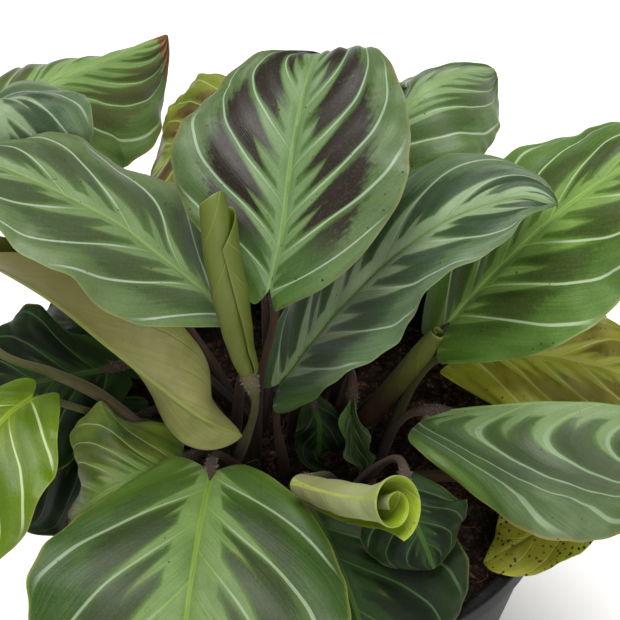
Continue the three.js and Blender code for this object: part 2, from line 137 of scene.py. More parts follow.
# %% Node helper
class Paint:
    def __init__(self, tree):
        self.tree = tree

    def feed(self, socket, value):
        if isinstance(value, Value):
            value = value.socket
        if isinstance(value, bpy.types.NodeSocket):
            self.tree.links.new(value, socket)
        else:
            socket.default_value = value

    def node(self, kind, inputs=None, **settings):
        made = self.tree.nodes.new(kind)
        for key, value in settings.items():
            setattr(made, key, value)
        for key, value in (inputs or {}).items():
            self.feed(made.inputs[key], value)
        return made

    def number(self, kind, inputs=None, output=0, **settings):
        return Value(self, self.node(kind, inputs, **settings).outputs[output])

    def math(self, operation, first, second=0.0):
        return self.number("ShaderNodeMath", {0: first, 1: second}, operation=operation)

    def soft(self, value, low, high):
        """Rises smoothly from 0 to 1 while the value goes from low to high."""
        inputs = {"Value": value, "From Min": low, "From Max": high}
        return self.number("ShaderNodeMapRange", inputs, interpolation_type="SMOOTHSTEP")

    def noise(self, vector, scale, detail=2.0, roughness=0.5):
        inputs = {"Vector": vector, "Scale": scale, "Detail": detail, "Roughness": roughness}
        return self.number("ShaderNodeTexNoise", inputs)

    def dots(self, vector, scale):
        return self.number("ShaderNodeTexVoronoi", {"Vector": vector, "Scale": scale})

    def value(self, name):
        return self.number("ShaderNodeAttribute", output="Fac", attribute_name=name)

    def place(self):
        return self.node("ShaderNodeTexCoord").outputs["Object"]

    def vector(self, x, y, z=0.0):
        return self.node("ShaderNodeCombineXYZ", {0: x, 1: y, 2: z}).outputs[0]

    def stretch(self, vector, x, y, z):
        scaled = self.node("ShaderNodeVectorMath", {0: vector, 1: (x, y, z)}, operation="MULTIPLY")
        return scaled.outputs[0]

    def blend(self, amount, first, second):
        mixed = self.node("ShaderNodeMix", {0: amount, 6: first, 7: second}, data_type="RGBA")
        return mixed.outputs[2]

    def layers(self, colour, *coats):
        """Lays coats over a colour. Each coat is how much of it there is and its own colour."""
        for amount, coat in coats:
            colour = self.blend(amount, colour, coat)
        return colour


# %% Node group and material helpers
def paint_group(name, numbers, colours):
    group = bpy.data.node_groups.new(name, "ShaderNodeTree")
    for label, start in numbers.items():
        socket = group.interface.new_socket(label, in_out="INPUT", socket_type="NodeSocketFloat")
        socket.default_value = start
    for label in colours:
        group.interface.new_socket(label, in_out="INPUT", socket_type="NodeSocketColor")
    for label, kind in (("Colour", "Color"), ("Roughness", "Float"), ("Height", "Float")):
        group.interface.new_socket(label, in_out="OUTPUT", socket_type="NodeSocket" + kind)
    paint = Paint(group)
    given = {socket.name: Value(paint, socket) for socket in paint.node("NodeGroupInput").outputs}
    result = paint.node("NodeGroupOutput").inputs
    return group, paint, given, result


def finish_material(name, group, inputs, bump_height, settings):
    material = bpy.data.materials.new(name)
    material.use_nodes = True
    material.node_tree.nodes.clear()
    paint = Paint(material.node_tree)
    pattern = paint.node("ShaderNodeGroup", node_tree=group)
    for label, value in inputs.items():
        pattern.inputs[label].default_value = value
    bump = paint.node("ShaderNodeBump", {"Height": pattern.outputs["Height"], "Distance": bump_height * MM})
    surface = paint.node("ShaderNodeBsdfPrincipled", {
        "Base Color": pattern.outputs["Colour"],
        "Roughness": pattern.outputs["Roughness"],
        "Normal": bump.outputs[0],
        **settings,
    })
    paint.node("ShaderNodeOutputMaterial", {"Surface": surface.outputs[0]})
    return material


# %% [markdown]
# ## The pot
# The real pot is a thin black nursery pot, moulded in one piece, with a stiff band round its rim. It
# could be a screwed-on profile or a cylinder that is pulled into shape, but a turned shape is a profile
# that goes round once. So a list of radius and height pairs is turned in small steps, and the drain
# holes are cut after.

# %% Turn a closed profile round the upright axis
def circle(radius, steps):
    angles = np.arange(steps) * 2 * math.pi / steps
    return [(radius * math.cos(angle), radius * math.sin(angle)) for angle in angles]


def turned(profile, steps):
    points, faces, starts = [], [], []
    for radius, height in profile:
        starts.append(len(points))
        points += [(x, y, height) for x, y in circle(radius, steps if radius else 1)]
    for ring in range(len(profile) - 1):
        low, high = starts[ring], starts[ring + 1]
        for step in range(steps):
            after = (step + 1) % steps
            if profile[ring][0] == 0:
                faces.append((low, high + after, high + step))
            elif profile[ring + 1][0] == 0:
                faces.append((low + step, low + after, high))
            else:
                faces.append((low + step, low + after, high + after, high + step))
    return points, faces


def rounded(start, middle, end, steps=4):
    start, middle, end = (np.array(p, float) for p in (start, middle, end))
    shares = np.linspace(0, 1, steps + 1)
    return [tuple((1 - s) ** 2 * start + 2 * s * (1 - s) * middle + s * s * end) for s in shares]


# %% The pot's section, in millimetres
def pot_profile():
    outside = [(0, 0.6), (30, 0.6), (31, 0.0), (47.6, 0.0)]
    outside += rounded((48, 0), (50, 0.1), (50.1, 2.2))
    outside += [(52.4, 16), (53.0, 16.6), (55.6, 32), (61.8, 70), (67.4, 103.6)]
    outside += rounded((67.6, 105), (67.7, 105.9), (69.3, 106.1))
    outside += rounded((69.7, 106.8), (69.85, 110), (70, 113.4), 3)
    outside += rounded((70, 113.8), (70, 115), (68.8, 115))
    inside = rounded((67.6, 115), (66.4, 115), (66.4, 113.8))
    inside += [(66.2, 110), (66, 105), (60, 70), (54, 36)]
    inside += rounded((48.6, 4.6), (48.3, 1.6), (46, 1.6))
    inside += [(20, 1.6), (0, 1.6)]
    return outside + inside


# %% [markdown]
# ## Black moulded plastic
# Recycled nursery plastic is never quite black: it is dusty, faintly streaked round the mould, and
# rubbed paler where it is handled. Noise on the piece's own coordinates gives dust that stays put from
# every side.

# %% Pot material
group, paint, given, result = paint_group("moulded_plastic", {"Dust": 0.5}, ["Black", "Dust colour"])
where = paint.place()
cloud = paint.noise(where, 38.0, 5.0, 0.6)
grain = paint.noise(where, 900.0, 3.0, 0.7)
flow = paint.noise(paint.stretch(where, 30, 30, 420), 1.0, 3.0, 0.6)
height_above_floor = paint.number("ShaderNodeSeparateXYZ", {0: where}, output=2)
near_rim = paint.soft(height_above_floor, 0.098, 0.116)
splash = paint.soft(paint.dots(where, 420.0), 0.16, 0.05)
dust = paint.soft(cloud, 0.46, 0.86) * paint.soft(grain, 0.35, 0.7)
dust = (dust + near_rim * paint.soft(grain, 0.5, 0.8) + splash * 0.5) * given["Dust"]
streaked = paint.blend(paint.soft(flow, 0.45, 0.8) * 0.06, given["Black"], given["Dust colour"])
paint.feed(result["Colour"], paint.blend(dust, streaked, given["Dust colour"]))
paint.feed(result["Roughness"], 0.46 + dust * 0.5)
paint.feed(result["Height"], grain + flow * 0.35)
pot_plastic = finish_material(
    "pot_plastic", group,
    {"Dust": 0.22, "Black": tint(14, 14, 15), "Dust colour": tint(70, 67, 62)},
    0.05, {"Specular IOR Level": 0.08},
)

# %% Turn the pot and cut its drain holes
# The sizes of the holes are in metres.
POT_STEPS = 160
POT_SHARP_ANGLE = 38
HOLE_COUNT = 8
HOLE_CIRCLE = 0.037
HOLE_RADIUS = 0.004
HOLE_DEPTH = 0.012


def baked_mesh(source, name):
    """Gives the mesh that the modifiers of an object make of it, and removes the object."""
    ready = source.evaluated_get(bpy.context.evaluated_depsgraph_get())
    mesh = bpy.data.meshes.new_from_object(ready)
    mesh.name = name
    bpy.data.objects.remove(source)
    return mesh


points, faces = turned(pot_profile(), POT_STEPS)
shell = mesh_object("pot_shell", points, faces, [pot_plastic], POT_SHARP_ANGLE)
drills = bmesh.new()
for x, y in circle(HOLE_CIRCLE, HOLE_COUNT):
    bmesh.ops.create_cone(
        drills, cap_ends=True, segments=32, radius1=HOLE_RADIUS, radius2=HOLE_RADIUS,
        depth=HOLE_DEPTH, matrix=Matrix.Translation((x, y, 0)),
    )
drill_mesh = bpy.data.meshes.new("drills")
drills.to_mesh(drill_mesh)
drills.free()
drill = place_object("drills", drill_mesh)
cut = shell.modifiers.new("drain_holes", "BOOLEAN")
cut.operation = "DIFFERENCE"
cut.object = drill
bpy.context.view_layer.update()
pot_mesh = baked_mesh(shell, "nursery_pot")
smooth(pot_mesh, POT_SHARP_ANGLE)
pot = place_object("nursery_pot", pot_mesh)
bpy.data.objects.remove(drill)
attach(pot, "root")
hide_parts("pot")
print("pot triangles:", triangle_count(pot))


# %% [markdown]
# ## The soil
# Potting mix is a low, lumpy mound of crumbs, bark and root fibres, darker where it is damp. A
# displaced disc alone looks like rubber, so the surface is made in two parts. The mound below keeps the
# place of the solid soil and is coloured darker than the crumbs, partly for damp and partly as painted
# shade under the leaves. Loose crumbs are scattered over it by Geometry Nodes in a later cell.

# %% The height of the soil, in millimetres
SOIL_LEVEL = 103.0
SOIL_RADIUS = 65.2


def soil_height(x, y):
    share = np.minimum(np.hypot(x, y) / 70, 1)
    lumps = np.sin(0.19 * x + 1.3) * np.cos(0.17 * y - 0.4) + 0.6 * np.sin(0.33 * x - 0.29 * y)
    return SOIL_LEVEL - 1 + 3 * (1 - share ** 2) + 1.2 * lumps * (1 - share ** 6)


def small_lumps(x, y):
    first = np.sin(1.1 * x + 0.7 * np.sin(0.9 * y)) * np.sin(1.3 * y + 0.8 * np.sin(1.0 * x))
    second = np.sin(2.7 * x - 1.9 * y + 2 * np.sin(0.6 * x)) * np.sin(2.3 * y + 1.4 * x)
    return 0.35 * first + 0.22 * second


# %% Soil material
SOIL_COLOURS = {
    # The mound's colours are darker than the crumbs', partly for real damp and partly as painted shade
    # under the leaves.
    "damp_soil": dict(damp=0.7, bump=0.9, dark=(17, 12, 9), crumb=(46, 33, 24), bark=(92, 64, 44)),
    "soil_crumbs": dict(damp=0.35, bump=0.5, dark=(34, 23, 18), crumb=(84, 56, 43), bark=(132, 92, 66)),
    "bark_chips": dict(damp=0.2, bump=0.4, dark=(52, 34, 24), crumb=(112, 78, 54), bark=(160, 124, 88)),
    "dry_fibres": dict(damp=0.1, bump=0.1, dark=(96, 70, 50), crumb=(160, 128, 96), bark=(196, 170, 134)),
}
group, paint, given, result = paint_group("potting_mix", {"Damp": 0.5}, ["Dark", "Crumb", "Bark"])
where = paint.place()
broad = paint.noise(where, 60.0, 4.0, 0.6)
crumbs = paint.noise(where, 420.0, 5.0, 0.7)
fine = paint.noise(where, 1500.0, 3.0, 0.7)
chips = paint.soft(paint.dots(where, 520.0), 0.3, 0.1) * paint.soft(broad, 0.5, 0.62)
soil_colour = paint.layers(
    given["Dark"],
    (paint.soft(crumbs, 0.42, 0.66), given["Crumb"]),
    (chips, given["Bark"]),
    (paint.soft(broad, 0.55, 0.35) * given["Damp"], given["Dark"]),
)
paint.feed(result["Colour"], soil_colour)
paint.feed(result["Roughness"], 0.95 - paint.soft(broad, 0.5, 0.3) * 0.25)
paint.feed(result["Height"], crumbs + fine * 0.5)
soil_materials = {}
for name, row in SOIL_COLOURS.items():
    inputs = {label.capitalize(): tint(*row[label]) for label in ("dark", "crumb", "bark")}
    inputs["Damp"] = row["damp"]
    soil_materials[name] = finish_material(name, group, inputs, row["bump"], {"Specular IOR Level": 0.25})

# %% The mound, closed all round
MOUND_RINGS = 90
MOUND_STEPS = 180
BELOW_THE_TOP = ((64.6, 92), (48.2, 4.2), (46, 1.9))


def make_mound():
    rings, steps = MOUND_RINGS, MOUND_STEPS
    points, faces = [], []
    for ring in range(1, rings + 1):
        for x, y in circle(SOIL_RADIUS * ring / rings, steps):
            rough = small_lumps(x, y) * (1 - (ring / rings) ** 12)
            points.append((x, y, soil_height(x, y) + rough - 0.1))
    for ring in range(rings - 1):
        for step in range(steps):
            a, b = ring * steps + step, ring * steps + (step + 1) % steps
            faces.append((a, a + steps, b + steps, b))
    middle = len(points)
    points.append((0, 0, soil_height(0, 0)))
    faces += [(step, (step + 1) % steps, middle) for step in range(steps)]
    rim = (rings - 1) * steps
    for radius, height in BELOW_THE_TOP:
        start = len(points)
        points += [(x, y, height) for x, y in circle(radius, steps)]
        for step in range(steps):
            after = (step + 1) % steps
            faces.append((rim + step, start + step, start + after, rim + after))
        rim = start
    middle = len(points)
    points.append((0, 0, BELOW_THE_TOP[-1][1]))
    faces += [(rim + (step + 1) % steps, rim + step, middle) for step in range(steps)]
    return mesh_object("soil_mound", points, faces, [soil_materials["damp_soil"]], 75)


mound = make_mound()
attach(mound, "root")
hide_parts("soil")
print("mound triangles:", triangle_count(mound))


# %% [markdown]
# ## How a leaf is shaped
# Every blade follows one curved midrib. Across it the two halves fold up or hang down, curl, and wave
# at the edge, and toward the foot they swing back into two lobes. A plane pushed about by hand could
# look like one leaf, but this plant has thirty. So one function of two numbers makes them all: v runs
# from the stalk to the tip, and u runs from the left edge to the right edge.

# %% Curves through points
def spline_points(points, shares):
    knots = np.asarray(points, float)
    count = len(knots)
    place = np.clip(np.atleast_1d(shares), 0, 1) * (count - 1)
    index = np.minimum(place.astype(int), count - 2)
    part = (place - index)[:, None]
    longer = np.vstack([2 * knots[0] - knots[1], knots, 2 * knots[-1] - knots[-2]])
    before, start, end, after = longer[index], longer[index + 1], longer[index + 2], longer[index + 3]
    leave, arrive = (end - before) / 2, (after - start) / 2
    cubic = (2 * start - 2 * end + leave + arrive) * part ** 3
    return cubic + (3 * end - 3 * start - 2 * leave - arrive) * part ** 2 + leave * part + start


def even_points(points, shares):
    """Points of the curve, at shares of its length."""
    fine = np.linspace(0, 1, 241)
    steps = np.linalg.norm(np.diff(spline_points(points, fine), axis=0), axis=1)
    travelled = np.r_[0, np.cumsum(steps)]
    return spline_points(points, np.interp(np.asarray(shares) * travelled[-1], travelled, fine))


def unit(vectors):
    return vectors / np.linalg.norm(vectors, axis=-1, keepdims=True)


def midrib_axes(leaf, v):
    centre = even_points(leaf["spine"], v)
    behind = even_points(leaf["spine"], np.clip(v - 0.004, 0, 1))
    before = even_points(leaf["spine"], np.clip(v + 0.004, 0, 1))
    ahead = unit(before - behind)
    up = unit(np.array([0, 0, 1.0]) - ahead * ahead[:, 2:3])
    right = np.cross(ahead, up)
    turn = np.radians(leaf.get("roll", 0) + leaf.get("twist", 0) * v)[:, None]
    raised = up * np.cos(turn) + right * np.sin(turn)
    lowered = right * np.cos(turn) - up * np.sin(turn)
    return centre, ahead, raised, lowered


# %% The outline of half a blade, as a share of its greatest width
FOOT_PART = 0.42
TIP_PART = 0.58
NARROWEST = 0.012


def outline(leaf, v):
    base = leaf.get("base", 0.72)
    low = 1 - base * (np.clip(FOOT_PART - v, 0, 1) / FOOT_PART) ** 1.9
    high = np.maximum(1 - (np.clip(v - FOOT_PART, 0, 1) / TIP_PART) ** 2.2, 0) ** 0.75
    return np.where(v < FOOT_PART, low, np.maximum(high, NARROWEST))


def along(pair, v):
    if np.isscalar(pair):
        return pair + 0 * v
    return pair[0] + (pair[1] - pair[0]) * v


def edge_wander(v, seed, side):
    """Small irregularities that keep a real edge from being a perfect curve."""
    slow = np.sin(2 * math.pi * (3.1 * v + 0.37 * seed + 0.21 * side))
    quick = np.sin(2 * math.pi * (8.7 * v + 0.71 * seed - 0.4 * side))
    return 1 + 0.008 * slow + 0.005 * quick


# %% [markdown]
# ## Where the veins run
# Side veins leave the midrib at a slant, run outward, then sweep up along the edge. The blotches, the
# pale feather and the quilting between veins all follow them. So each point gets a vein number that
# rises by one from vein to vein, and both the shape and the colours read it. It is solved here by
# laying the veins out from the midrib and asking which of them passes nearest.

# %% Vein number at each point of a blade
VEIN_STARTS = [-0.62, -0.30, -0.08, 0.02, 0.10, 0.18, 0.31, 0.46, 0.61, 0.74, 0.85, 0.94, 1.02]
VEIN_NUMBERS = [-2, -1, 0, 1, 2, 3, 4, 5, 6, 7, 8, 9, 10]


def vein_number(leaf, t, v, offset):
    """The vein numbers along a line at the share t of the way from the midrib to the edge."""
    starts = np.linspace(-0.62, 1.02, 220)
    numbers = np.interp(starts, VEIN_STARTS, VEIN_NUMBERS) * leaf.get("veins", 0.8) + offset
    eased = np.clip((starts + 0.02) / 0.24, 0, 1)
    strength = 0.5 + 0.5 * eased * eased * (3 - 2 * eased)
    reach = 0.44 * t + 0.2 * t ** 6 + 0.02 * (1 - np.exp(-t / 0.04))
    bow = leaf.get("bow", 0) * math.sin(math.pi * min(1.4 * t, 1)) ** 0.8
    crossing = starts + strength * (leaf.get("sweep", 1) * reach - bow)
    return np.interp(v, crossing, numbers)


# %% Mid-surface of a flat or waved blade
EDGE_WAVES = 2.5
EDGE_RIPPLES = 9.3


def blade_surface(leaf, u, v):
    centre, ahead, up, right = midrib_axes(leaf, v)
    half = leaf["width"] / 2
    folds, curls = leaf.get("fold", (0, 0)), leaf.get("curl", (0, 0))
    height, phase, lobe = leaf.get("wave", 2), leaf.get("phase", 0), leaf.get("lobe", 6)
    surface = np.zeros((len(v), len(u), 3))
    for column, share in enumerate(u):
        side = 1 if share >= 0 else -1
        which = 1 if share >= 0 else 0
        slope = np.radians(along(folds[which], v))
        bend = np.radians(along(curls[which], v)) / half
        bend = np.where(np.abs(bend) < 1e-5, 1e-5, bend)
        reach = abs(share) * outline(leaf, v) * half * edge_wander(v, leaf["seed"], side)
        tilt = slope + bend * reach
        out = (np.sin(tilt) - np.sin(slope)) / bend
        rise = (np.cos(slope) - np.cos(tilt)) / bend
        shift = 0.37 if side > 0 else 0
        wave = height * abs(share) ** 3 * np.sin(2 * math.pi * (EDGE_WAVES * v + phase + shift))
        turns = EDGE_RIPPLES * v + 0.3 * leaf["seed"] + shift
        ripple = 0.3 * abs(share) ** 5 * np.sin(2 * math.pi * turns)
        wave = wave + ripple * min(1, height, (leaf["width"] / 45) ** 3)
        back = lobe * np.maximum(0, 1 - v / 0.3) ** 2 * math.sin(0.75 * math.pi * abs(share))
        sideways = (out - wave * np.sin(tilt))[:, None] * right * side
        upward = (rise + wave * np.cos(tilt))[:, None] * up
        surface[:, column] = centre + sideways + upward - ahead * back[:, None]
    return surface


# %% Mid-surface of a young leaf that is still rolled
FULL_FROM = 0.45
FULL_UNTIL = 0.75
USUAL_PITCH = 1.5
TIGHTEST_ROLL = 0.7


def rolled_surface(leaf, u, v):
    centre, ahead, up, right = midrib_axes(leaf, v)
    sweep = 2 * math.pi * leaf["turns"]
    foot, full, end = leaf["taper"]
    surface = np.zeros((len(v), len(u), 3))
    for row, share in enumerate(v):
        if share < FULL_UNTIL:
            scale = foot + (full - foot) * min(share / FULL_FROM, 1) ** 0.8
        else:
            scale = full + (end - full) * ((share - FULL_UNTIL) / (1 - FULL_UNTIL)) ** 1.5
        sheet = leaf["width"] * scale
        growth = (leaf["pitch"] * scale if "pitch" in leaf else USUAL_PITCH) / (2 * math.pi)
        inner = max((sheet - growth * sweep ** 2 / 2) / sweep, TIGHTEST_ROLL)
        run = (u + 1) / 2 * (inner * sweep + growth * sweep ** 2 / 2)
        turn = (np.sqrt(inner ** 2 + 2 * growth * run) - inner) / growth
        radius = inner + growth * turn
        lean = radius * 0.10 * np.sin(turn + 0.6) * share
        offset = np.cos(turn)[:, None] * right[row] + np.sin(turn)[:, None] * up[row]
        surface[row] = centre[row] + radius[:, None] * offset + lean[:, None] * ahead[row]
    # The sheet's outer layer ends lower than the inner one, along a slant.
    step = leaf.get("step", 0)
    low_end = 1 - step * np.clip((u + 0.3) / 1.3, 0, 1) ** 1.5 - 0.3 * step * np.clip(-0.3 - u, 0, 1)
    low_end = low_end - leaf.get("slant", 0) * (0.5 - 0.5 * np.cos(turn - 0.3))
    stepped = surface.copy()
    for column in range(len(u)):
        for axis in range(3):
            stepped[:, column, axis] = np.interp(v * low_end[column], v, surface[:, column, axis])
    return stepped


# %% [markdown]
# ## A closed sheet with two faces
# A leaf is thin but not flat: the midrib is a groove above and a rib below, and the blade swells a
# little between the veins. A Solidify modifier would give it an even thickness and lose all that. So
# both faces are laid out from the middle surface along its own normals, and they meet in one thin line
# at the edge.

# %% Both faces of a blade
BLADE_THICKNESS = 0.5


def sheet_normals(surface):
    along_u = np.gradient(surface, axis=1)
    along_v = np.gradient(surface, axis=0)
    normals = np.cross(along_u, along_v)
    size = np.linalg.norm(normals, axis=2, keepdims=True)
    return normals / np.maximum(size, 1e-9)


def sheet_points(surface, raise_top, drop_under):
    normals = sheet_normals(surface)
    rows, columns = surface.shape[:2]
    inside = np.zeros((rows, columns, 1))
    inside[1:-1, 1:-1] = 1
    top = surface + normals * (raise_top[..., None] * inside)
    under = surface - normals * (drop_under[..., None] * inside)
    number_top = np.arange(rows * columns).reshape(rows, columns)
    number_under = number_top.copy()
    inner = inside[..., 0] > 0
    number_under[inner] = rows * columns + np.arange(inner.sum())
    points = np.vstack([top.reshape(-1, 3), under[inner]])
    faces = []
    for row in range(rows - 1):
        for column in range(columns - 1):
            a, b = number_top[row, column], number_top[row, column + 1]
            c, d = number_top[row + 1, column + 1], number_top[row + 1, column]
            faces.append((a, b, c, d))
            a, b = number_under[row, column], number_under[row, column + 1]
            c, d = number_under[row + 1, column + 1], number_under[row + 1, column]
            faces.append((a, d, c, b))
    return points, faces, inner


def both_faces(values, inner):
    return np.r_[values.reshape(-1), values[inner]]


# %% One blade, with the values its colours need
GROOVE_DEPTH = 0.35
RIB_HEIGHT = 0.85
MIDRIB_WIDTH = 0.7


def make_blade(leaf):
    rolled = "turns" in leaf
    if rolled:
        u = np.linspace(-1, 1, 91)
    else:
        share = np.linspace(0, 1, 25)[1:] ** 1.25
        u = np.r_[-share[::-1], 0, share]
    v = np.linspace(0, 1, 75) ** 0.97
    surface = (rolled_surface if rolled else blade_surface)(leaf, u, v)
    t = np.abs(u)[None, :] + 0 * v[:, None]
    across = t * outline(leaf, v)[:, None] * leaf["width"] / 2
    left_offset, right_offset = leaf.get("vein_offsets", (0.45, 0.0))
    offsets = np.where(u < 0, left_offset, right_offset)
    number = np.stack([vein_number(leaf, abs(one), v, offset) for one, offset in zip(u, offsets)], axis=1)
    swell = 0.5 - 0.5 * np.cos(2 * math.pi * number)
    fade = np.clip(across / 2.5, 0, 1) * np.clip((1 - t) / 0.12, 0, 1)
    quilt = leaf.get("quilt", 0.8) * min(1, leaf["width"] / 50) * swell * fade
    groove = np.exp(-(across / MIDRIB_WIDTH) ** 2) * np.clip((1 - v[:, None]) / 0.3, 0.15, 1)
    if rolled:
        groove = 0 * groove
        quilt = 0.25 * quilt
    thickness = BLADE_THICKNESS / 2 * (1 - 0.6 * t ** 6)
    raise_top = thickness + quilt - GROOVE_DEPTH * groove
    drop_under = thickness - quilt + RIB_HEIGHT * groove
    points, faces, inner = sheet_points(surface, raise_top, drop_under)
    first_under = surface.shape[0] * surface.shape[1]
    side = np.r_[np.ones(first_under), np.zeros(len(points) - first_under)]
    side[:first_under][~inner.reshape(-1)] = 0.5
    values = {
        "vein_number": both_faces(number, inner),
        "reach": both_faces(t, inner),
        "across": both_faces(across, inner),
        "along": both_faces(v[:, None] + 0 * t, inner),
        "upper": side,
    }
    return points, faces, values


# %% [markdown]
# ## Stalks, sheaths and joints
# A stalk starts inside a brown-green sheath, runs up thin and round, and ends in a swollen joint that
# turns the leaf to the light. A curve with a bevel could give the tube, but its thickness, its lapped
# sheath and the values for its colours change on the way. So rings of points are carried along the
# curve instead.

# %% A curve that never overshoots
def centripetal_points(points, shares):
    knots = np.asarray(points, float)
    longer = np.vstack([2 * knots[0] - knots[1], knots, 2 * knots[-1] - knots[-2]])
    place = np.clip(shares, 0, 1) * (len(knots) - 1)
    result = []
    for value in np.atleast_1d(place):
        index = min(int(value), len(knots) - 2)
        part = value - index
        x0, x1, x2, x3 = longer[index:index + 4]
        d0, d1, d2 = (max(np.linalg.norm(b - a), 1e-4) ** 0.5 for a, b in ((x0, x1), (x1, x2), (x2, x3)))
        leave = ((x1 - x0) / d0 - (x2 - x0) / (d0 + d1) + (x2 - x1) / d1) * d1
        arrive = ((x2 - x1) / d1 - (x3 - x1) / (d1 + d2) + (x3 - x2) / d2) * d1
        cubic = (2 * x1 - 2 * x2 + leave + arrive) * part ** 3
        result.append(cubic + (3 * x2 - 3 * x1 - 2 * leave - arrive) * part ** 2 + leave * part + x1)
    return np.array(result)


STALK_HEIGHTS = (92, 100, 108)
BELOW_BLADE = 0.5
JOINT_START = 9
INTO_BLADE = 3.2


def stalk_route(leaf):
    """Points of a stalk: upright in the soil, round any bends, then along under the blade's foot."""
    base, ahead, up = (axis[0] for axis in midrib_axes(leaf, np.array([0.0]))[:3])
    under = base - up * BELOW_BLADE
    start = base + np.array(leaf["join"], float) if "join" in leaf else under - ahead * JOINT_START
    x, y = leaf["foot"]
    route = [(x, y, height) for height in STALK_HEIGHTS] + list(leaf.get("via", ()))
    return route + [tuple(start), tuple(under + ahead * INTO_BLADE)]


# %% Carry rings of points along a stalk
STALK_SIDES = 18
SHEATH_RADIUS = 1.6
STALK_RADIUS = 1.05
JOINT_RADIUS = 1.6
ROLLED_JOINT_RADIUS = 2.3
JOINT_TO_BLADE = 5.5


def tube_faces(rings, sides):
    faces = []
    for ring in range(rings - 1):
        for side in range(sides):
            low, after = ring * sides + side, ring * sides + (side + 1) % sides
            faces.append((low, after, after + sides, low + sides))
    return faces


def make_stalk(leaf):
    sides = STALK_SIDES
    fine = centripetal_points(stalk_route(leaf), np.linspace(0, 1, 260))
    travelled = np.r_[0, np.cumsum(np.linalg.norm(np.diff(fine, axis=0), axis=1))]
    total = travelled[-1]
    count = max(30, int(total / 1.5))
    distance = np.linspace(0, total, count)
    centre = np.stack([np.interp(distance, travelled, fine[:, axis]) for axis in range(3)], axis=1)
    ahead = unit(np.gradient(centre, axis=0))
    across = unit(np.cross(ahead[0], [0.3, 1.0, 0.1]))
    share = distance / total
    to_blade = total - distance
    thin = np.clip((share - 0.45) / 0.2, 0, 1)
    thin = thin * thin * (3 - 2 * thin)
    lap = 1 - thin
    radius = SHEATH_RADIUS + (STALK_RADIUS - SHEATH_RADIUS) * thin
    joint = np.exp(-((to_blade - JOINT_TO_BLADE) / 4.2) ** 2)
    swollen = ROLLED_JOINT_RADIUS if "turns" in leaf else JOINT_RADIUS
    radius = radius + (swollen - radius) * joint
    radius = np.where(to_blade < 2.5, radius * (0.55 + 0.45 * to_blade / 2.5), radius)
    angles = np.arange(sides) * 2 * math.pi / sides
    wing = np.exp(-((angles - 1.0) / 0.32) ** 2) - 0.6 * np.exp(-((angles - 1.6) / 0.2) ** 2)
    points = []
    for step in range(count):
        across = unit(across - ahead[step] * np.dot(across, ahead[step]))
        other = np.cross(ahead[step], across)
        wrinkle = 0.03 * math.sin(distance[step] * 5.2) * joint[step]
        sizes = radius[step] * (1 + 0.16 * lap[step] * wing + wrinkle)
        ring = np.cos(angles)[:, None] * across + np.sin(angles)[:, None] * other
        points.append(centre[step] + ring * sizes[:, None])
    points = np.vstack(points + [centre[:1], centre[-1:]])
    bottom, top, last = count * sides, count * sides + 1, (count - 1) * sides
    faces = tube_faces(count, sides)
    faces += [(bottom, (side + 1) % sides, side) for side in range(sides)]
    faces += [(top, last + side, last + (side + 1) % sides) for side in range(sides)]
    values = {
        "up_stalk": np.r_[np.repeat(share, sides), 0, 1],
        "joint": np.r_[np.repeat(joint, sides), 0, joint[-1]],
        "wrap": np.r_[np.tile(angles / (2 * math.pi), count), 0, 0],
        "distance": np.r_[np.repeat(distance, sides), 0, total],
    }
    return points, faces, values


# %% One piece for each leaf, blade and stalk together
def make_leaf(name, leaf, blade_material, stalk_material):
    blade_points, blade_faces, blade_values = make_blade(leaf)
    stalk_points, stalk_faces, stalk_values = make_stalk(leaf)
    shift = len(blade_points)
    faces = blade_faces + [tuple(i + shift for i in face) for face in stalk_faces]
    points = np.vstack([blade_points, stalk_points])
    piece = mesh_object(name, points, faces, [blade_material, stalk_material], 70)
    slots = [0] * len(blade_faces) + [1] * len(stalk_faces)
    piece.data.polygons.foreach_set("material_index", slots)
    for label, values in blade_values.items():
        add_values(piece, label, np.r_[values, np.zeros(len(stalk_points))])
    for label, values in stalk_values.items():
        add_values(piece, label, np.r_[np.zeros(shift), values])
    return piece


# %% [markdown]
# ## The markings of a leaf
# A prayer plant's leaf is painted in layers. The ground is green. A pale feather lies along the midrib
# and sends a barb out under each side vein and a shorter one between. Dark blotches sit between the
# veins, crisp on one side and soft on the other. Fine pale veins cross all of it. A painted picture
# would fix one leaf only, so the layers are worked out from the vein number (its fraction says how far
# a point is from vein to vein), from the reach across the blade and from how far along it the point
# lies.

# %% Values that the markings start from
LEAF_NUMBERS = {
    "Feather": 1.0, "Blotches": 1.0, "Veins": 0.82, "Blotch reach": 0.66, "Feather reach": 1.0,
    "Yellowing": 0.0, "Brown edge": 0.3, "Brown tip": 0.0, "Specks": 0.5, "Dull": 0.0, "Wear": 0.3,
    "Foot shade": 0.0, "Vein width": 1.0, "Feather body": 0.075,
}
LEAF_COLOURS = [
    "Ground colour", "Feather colour", "Blotch colour", "Vein colour", "Midrib colour",
    "Edge colour", "Foot colour", "Under colour", "Yellow colour", "Brown colour",
]
leaf_group, paint, given, result = paint_group("leaf_markings", LEAF_NUMBERS, LEAF_COLOURS)
where = paint.place()
number = paint.value("vein_number")
reach = paint.value("reach")
across = paint.value("across")
along_leaf = paint.value("along")
upper = paint.value("upper")
cloud = paint.noise(where, 90.0, 3.0, 0.55)
mottle = paint.noise(where, 420.0, 4.0, 0.65)
grain = paint.noise(where, 1500.0, 2.0, 0.7)

# Ragged edges: a streaky noise bends the reach, and a mottled one bends both the fraction and the reach.
streaks = paint.noise(paint.vector(number * 9.0, reach * 5.0, along_leaf * 2.0), 1.0, 3.0, 0.6)
lines = paint.noise(paint.vector(number * 26.0, reach * 2.0), 1.0, 4.0, 0.7)
wander = (mottle - 0.5) * 0.1
part = paint.math("FRACT", number)
ragged = reach + wander + (streaks - 0.5) * 0.22

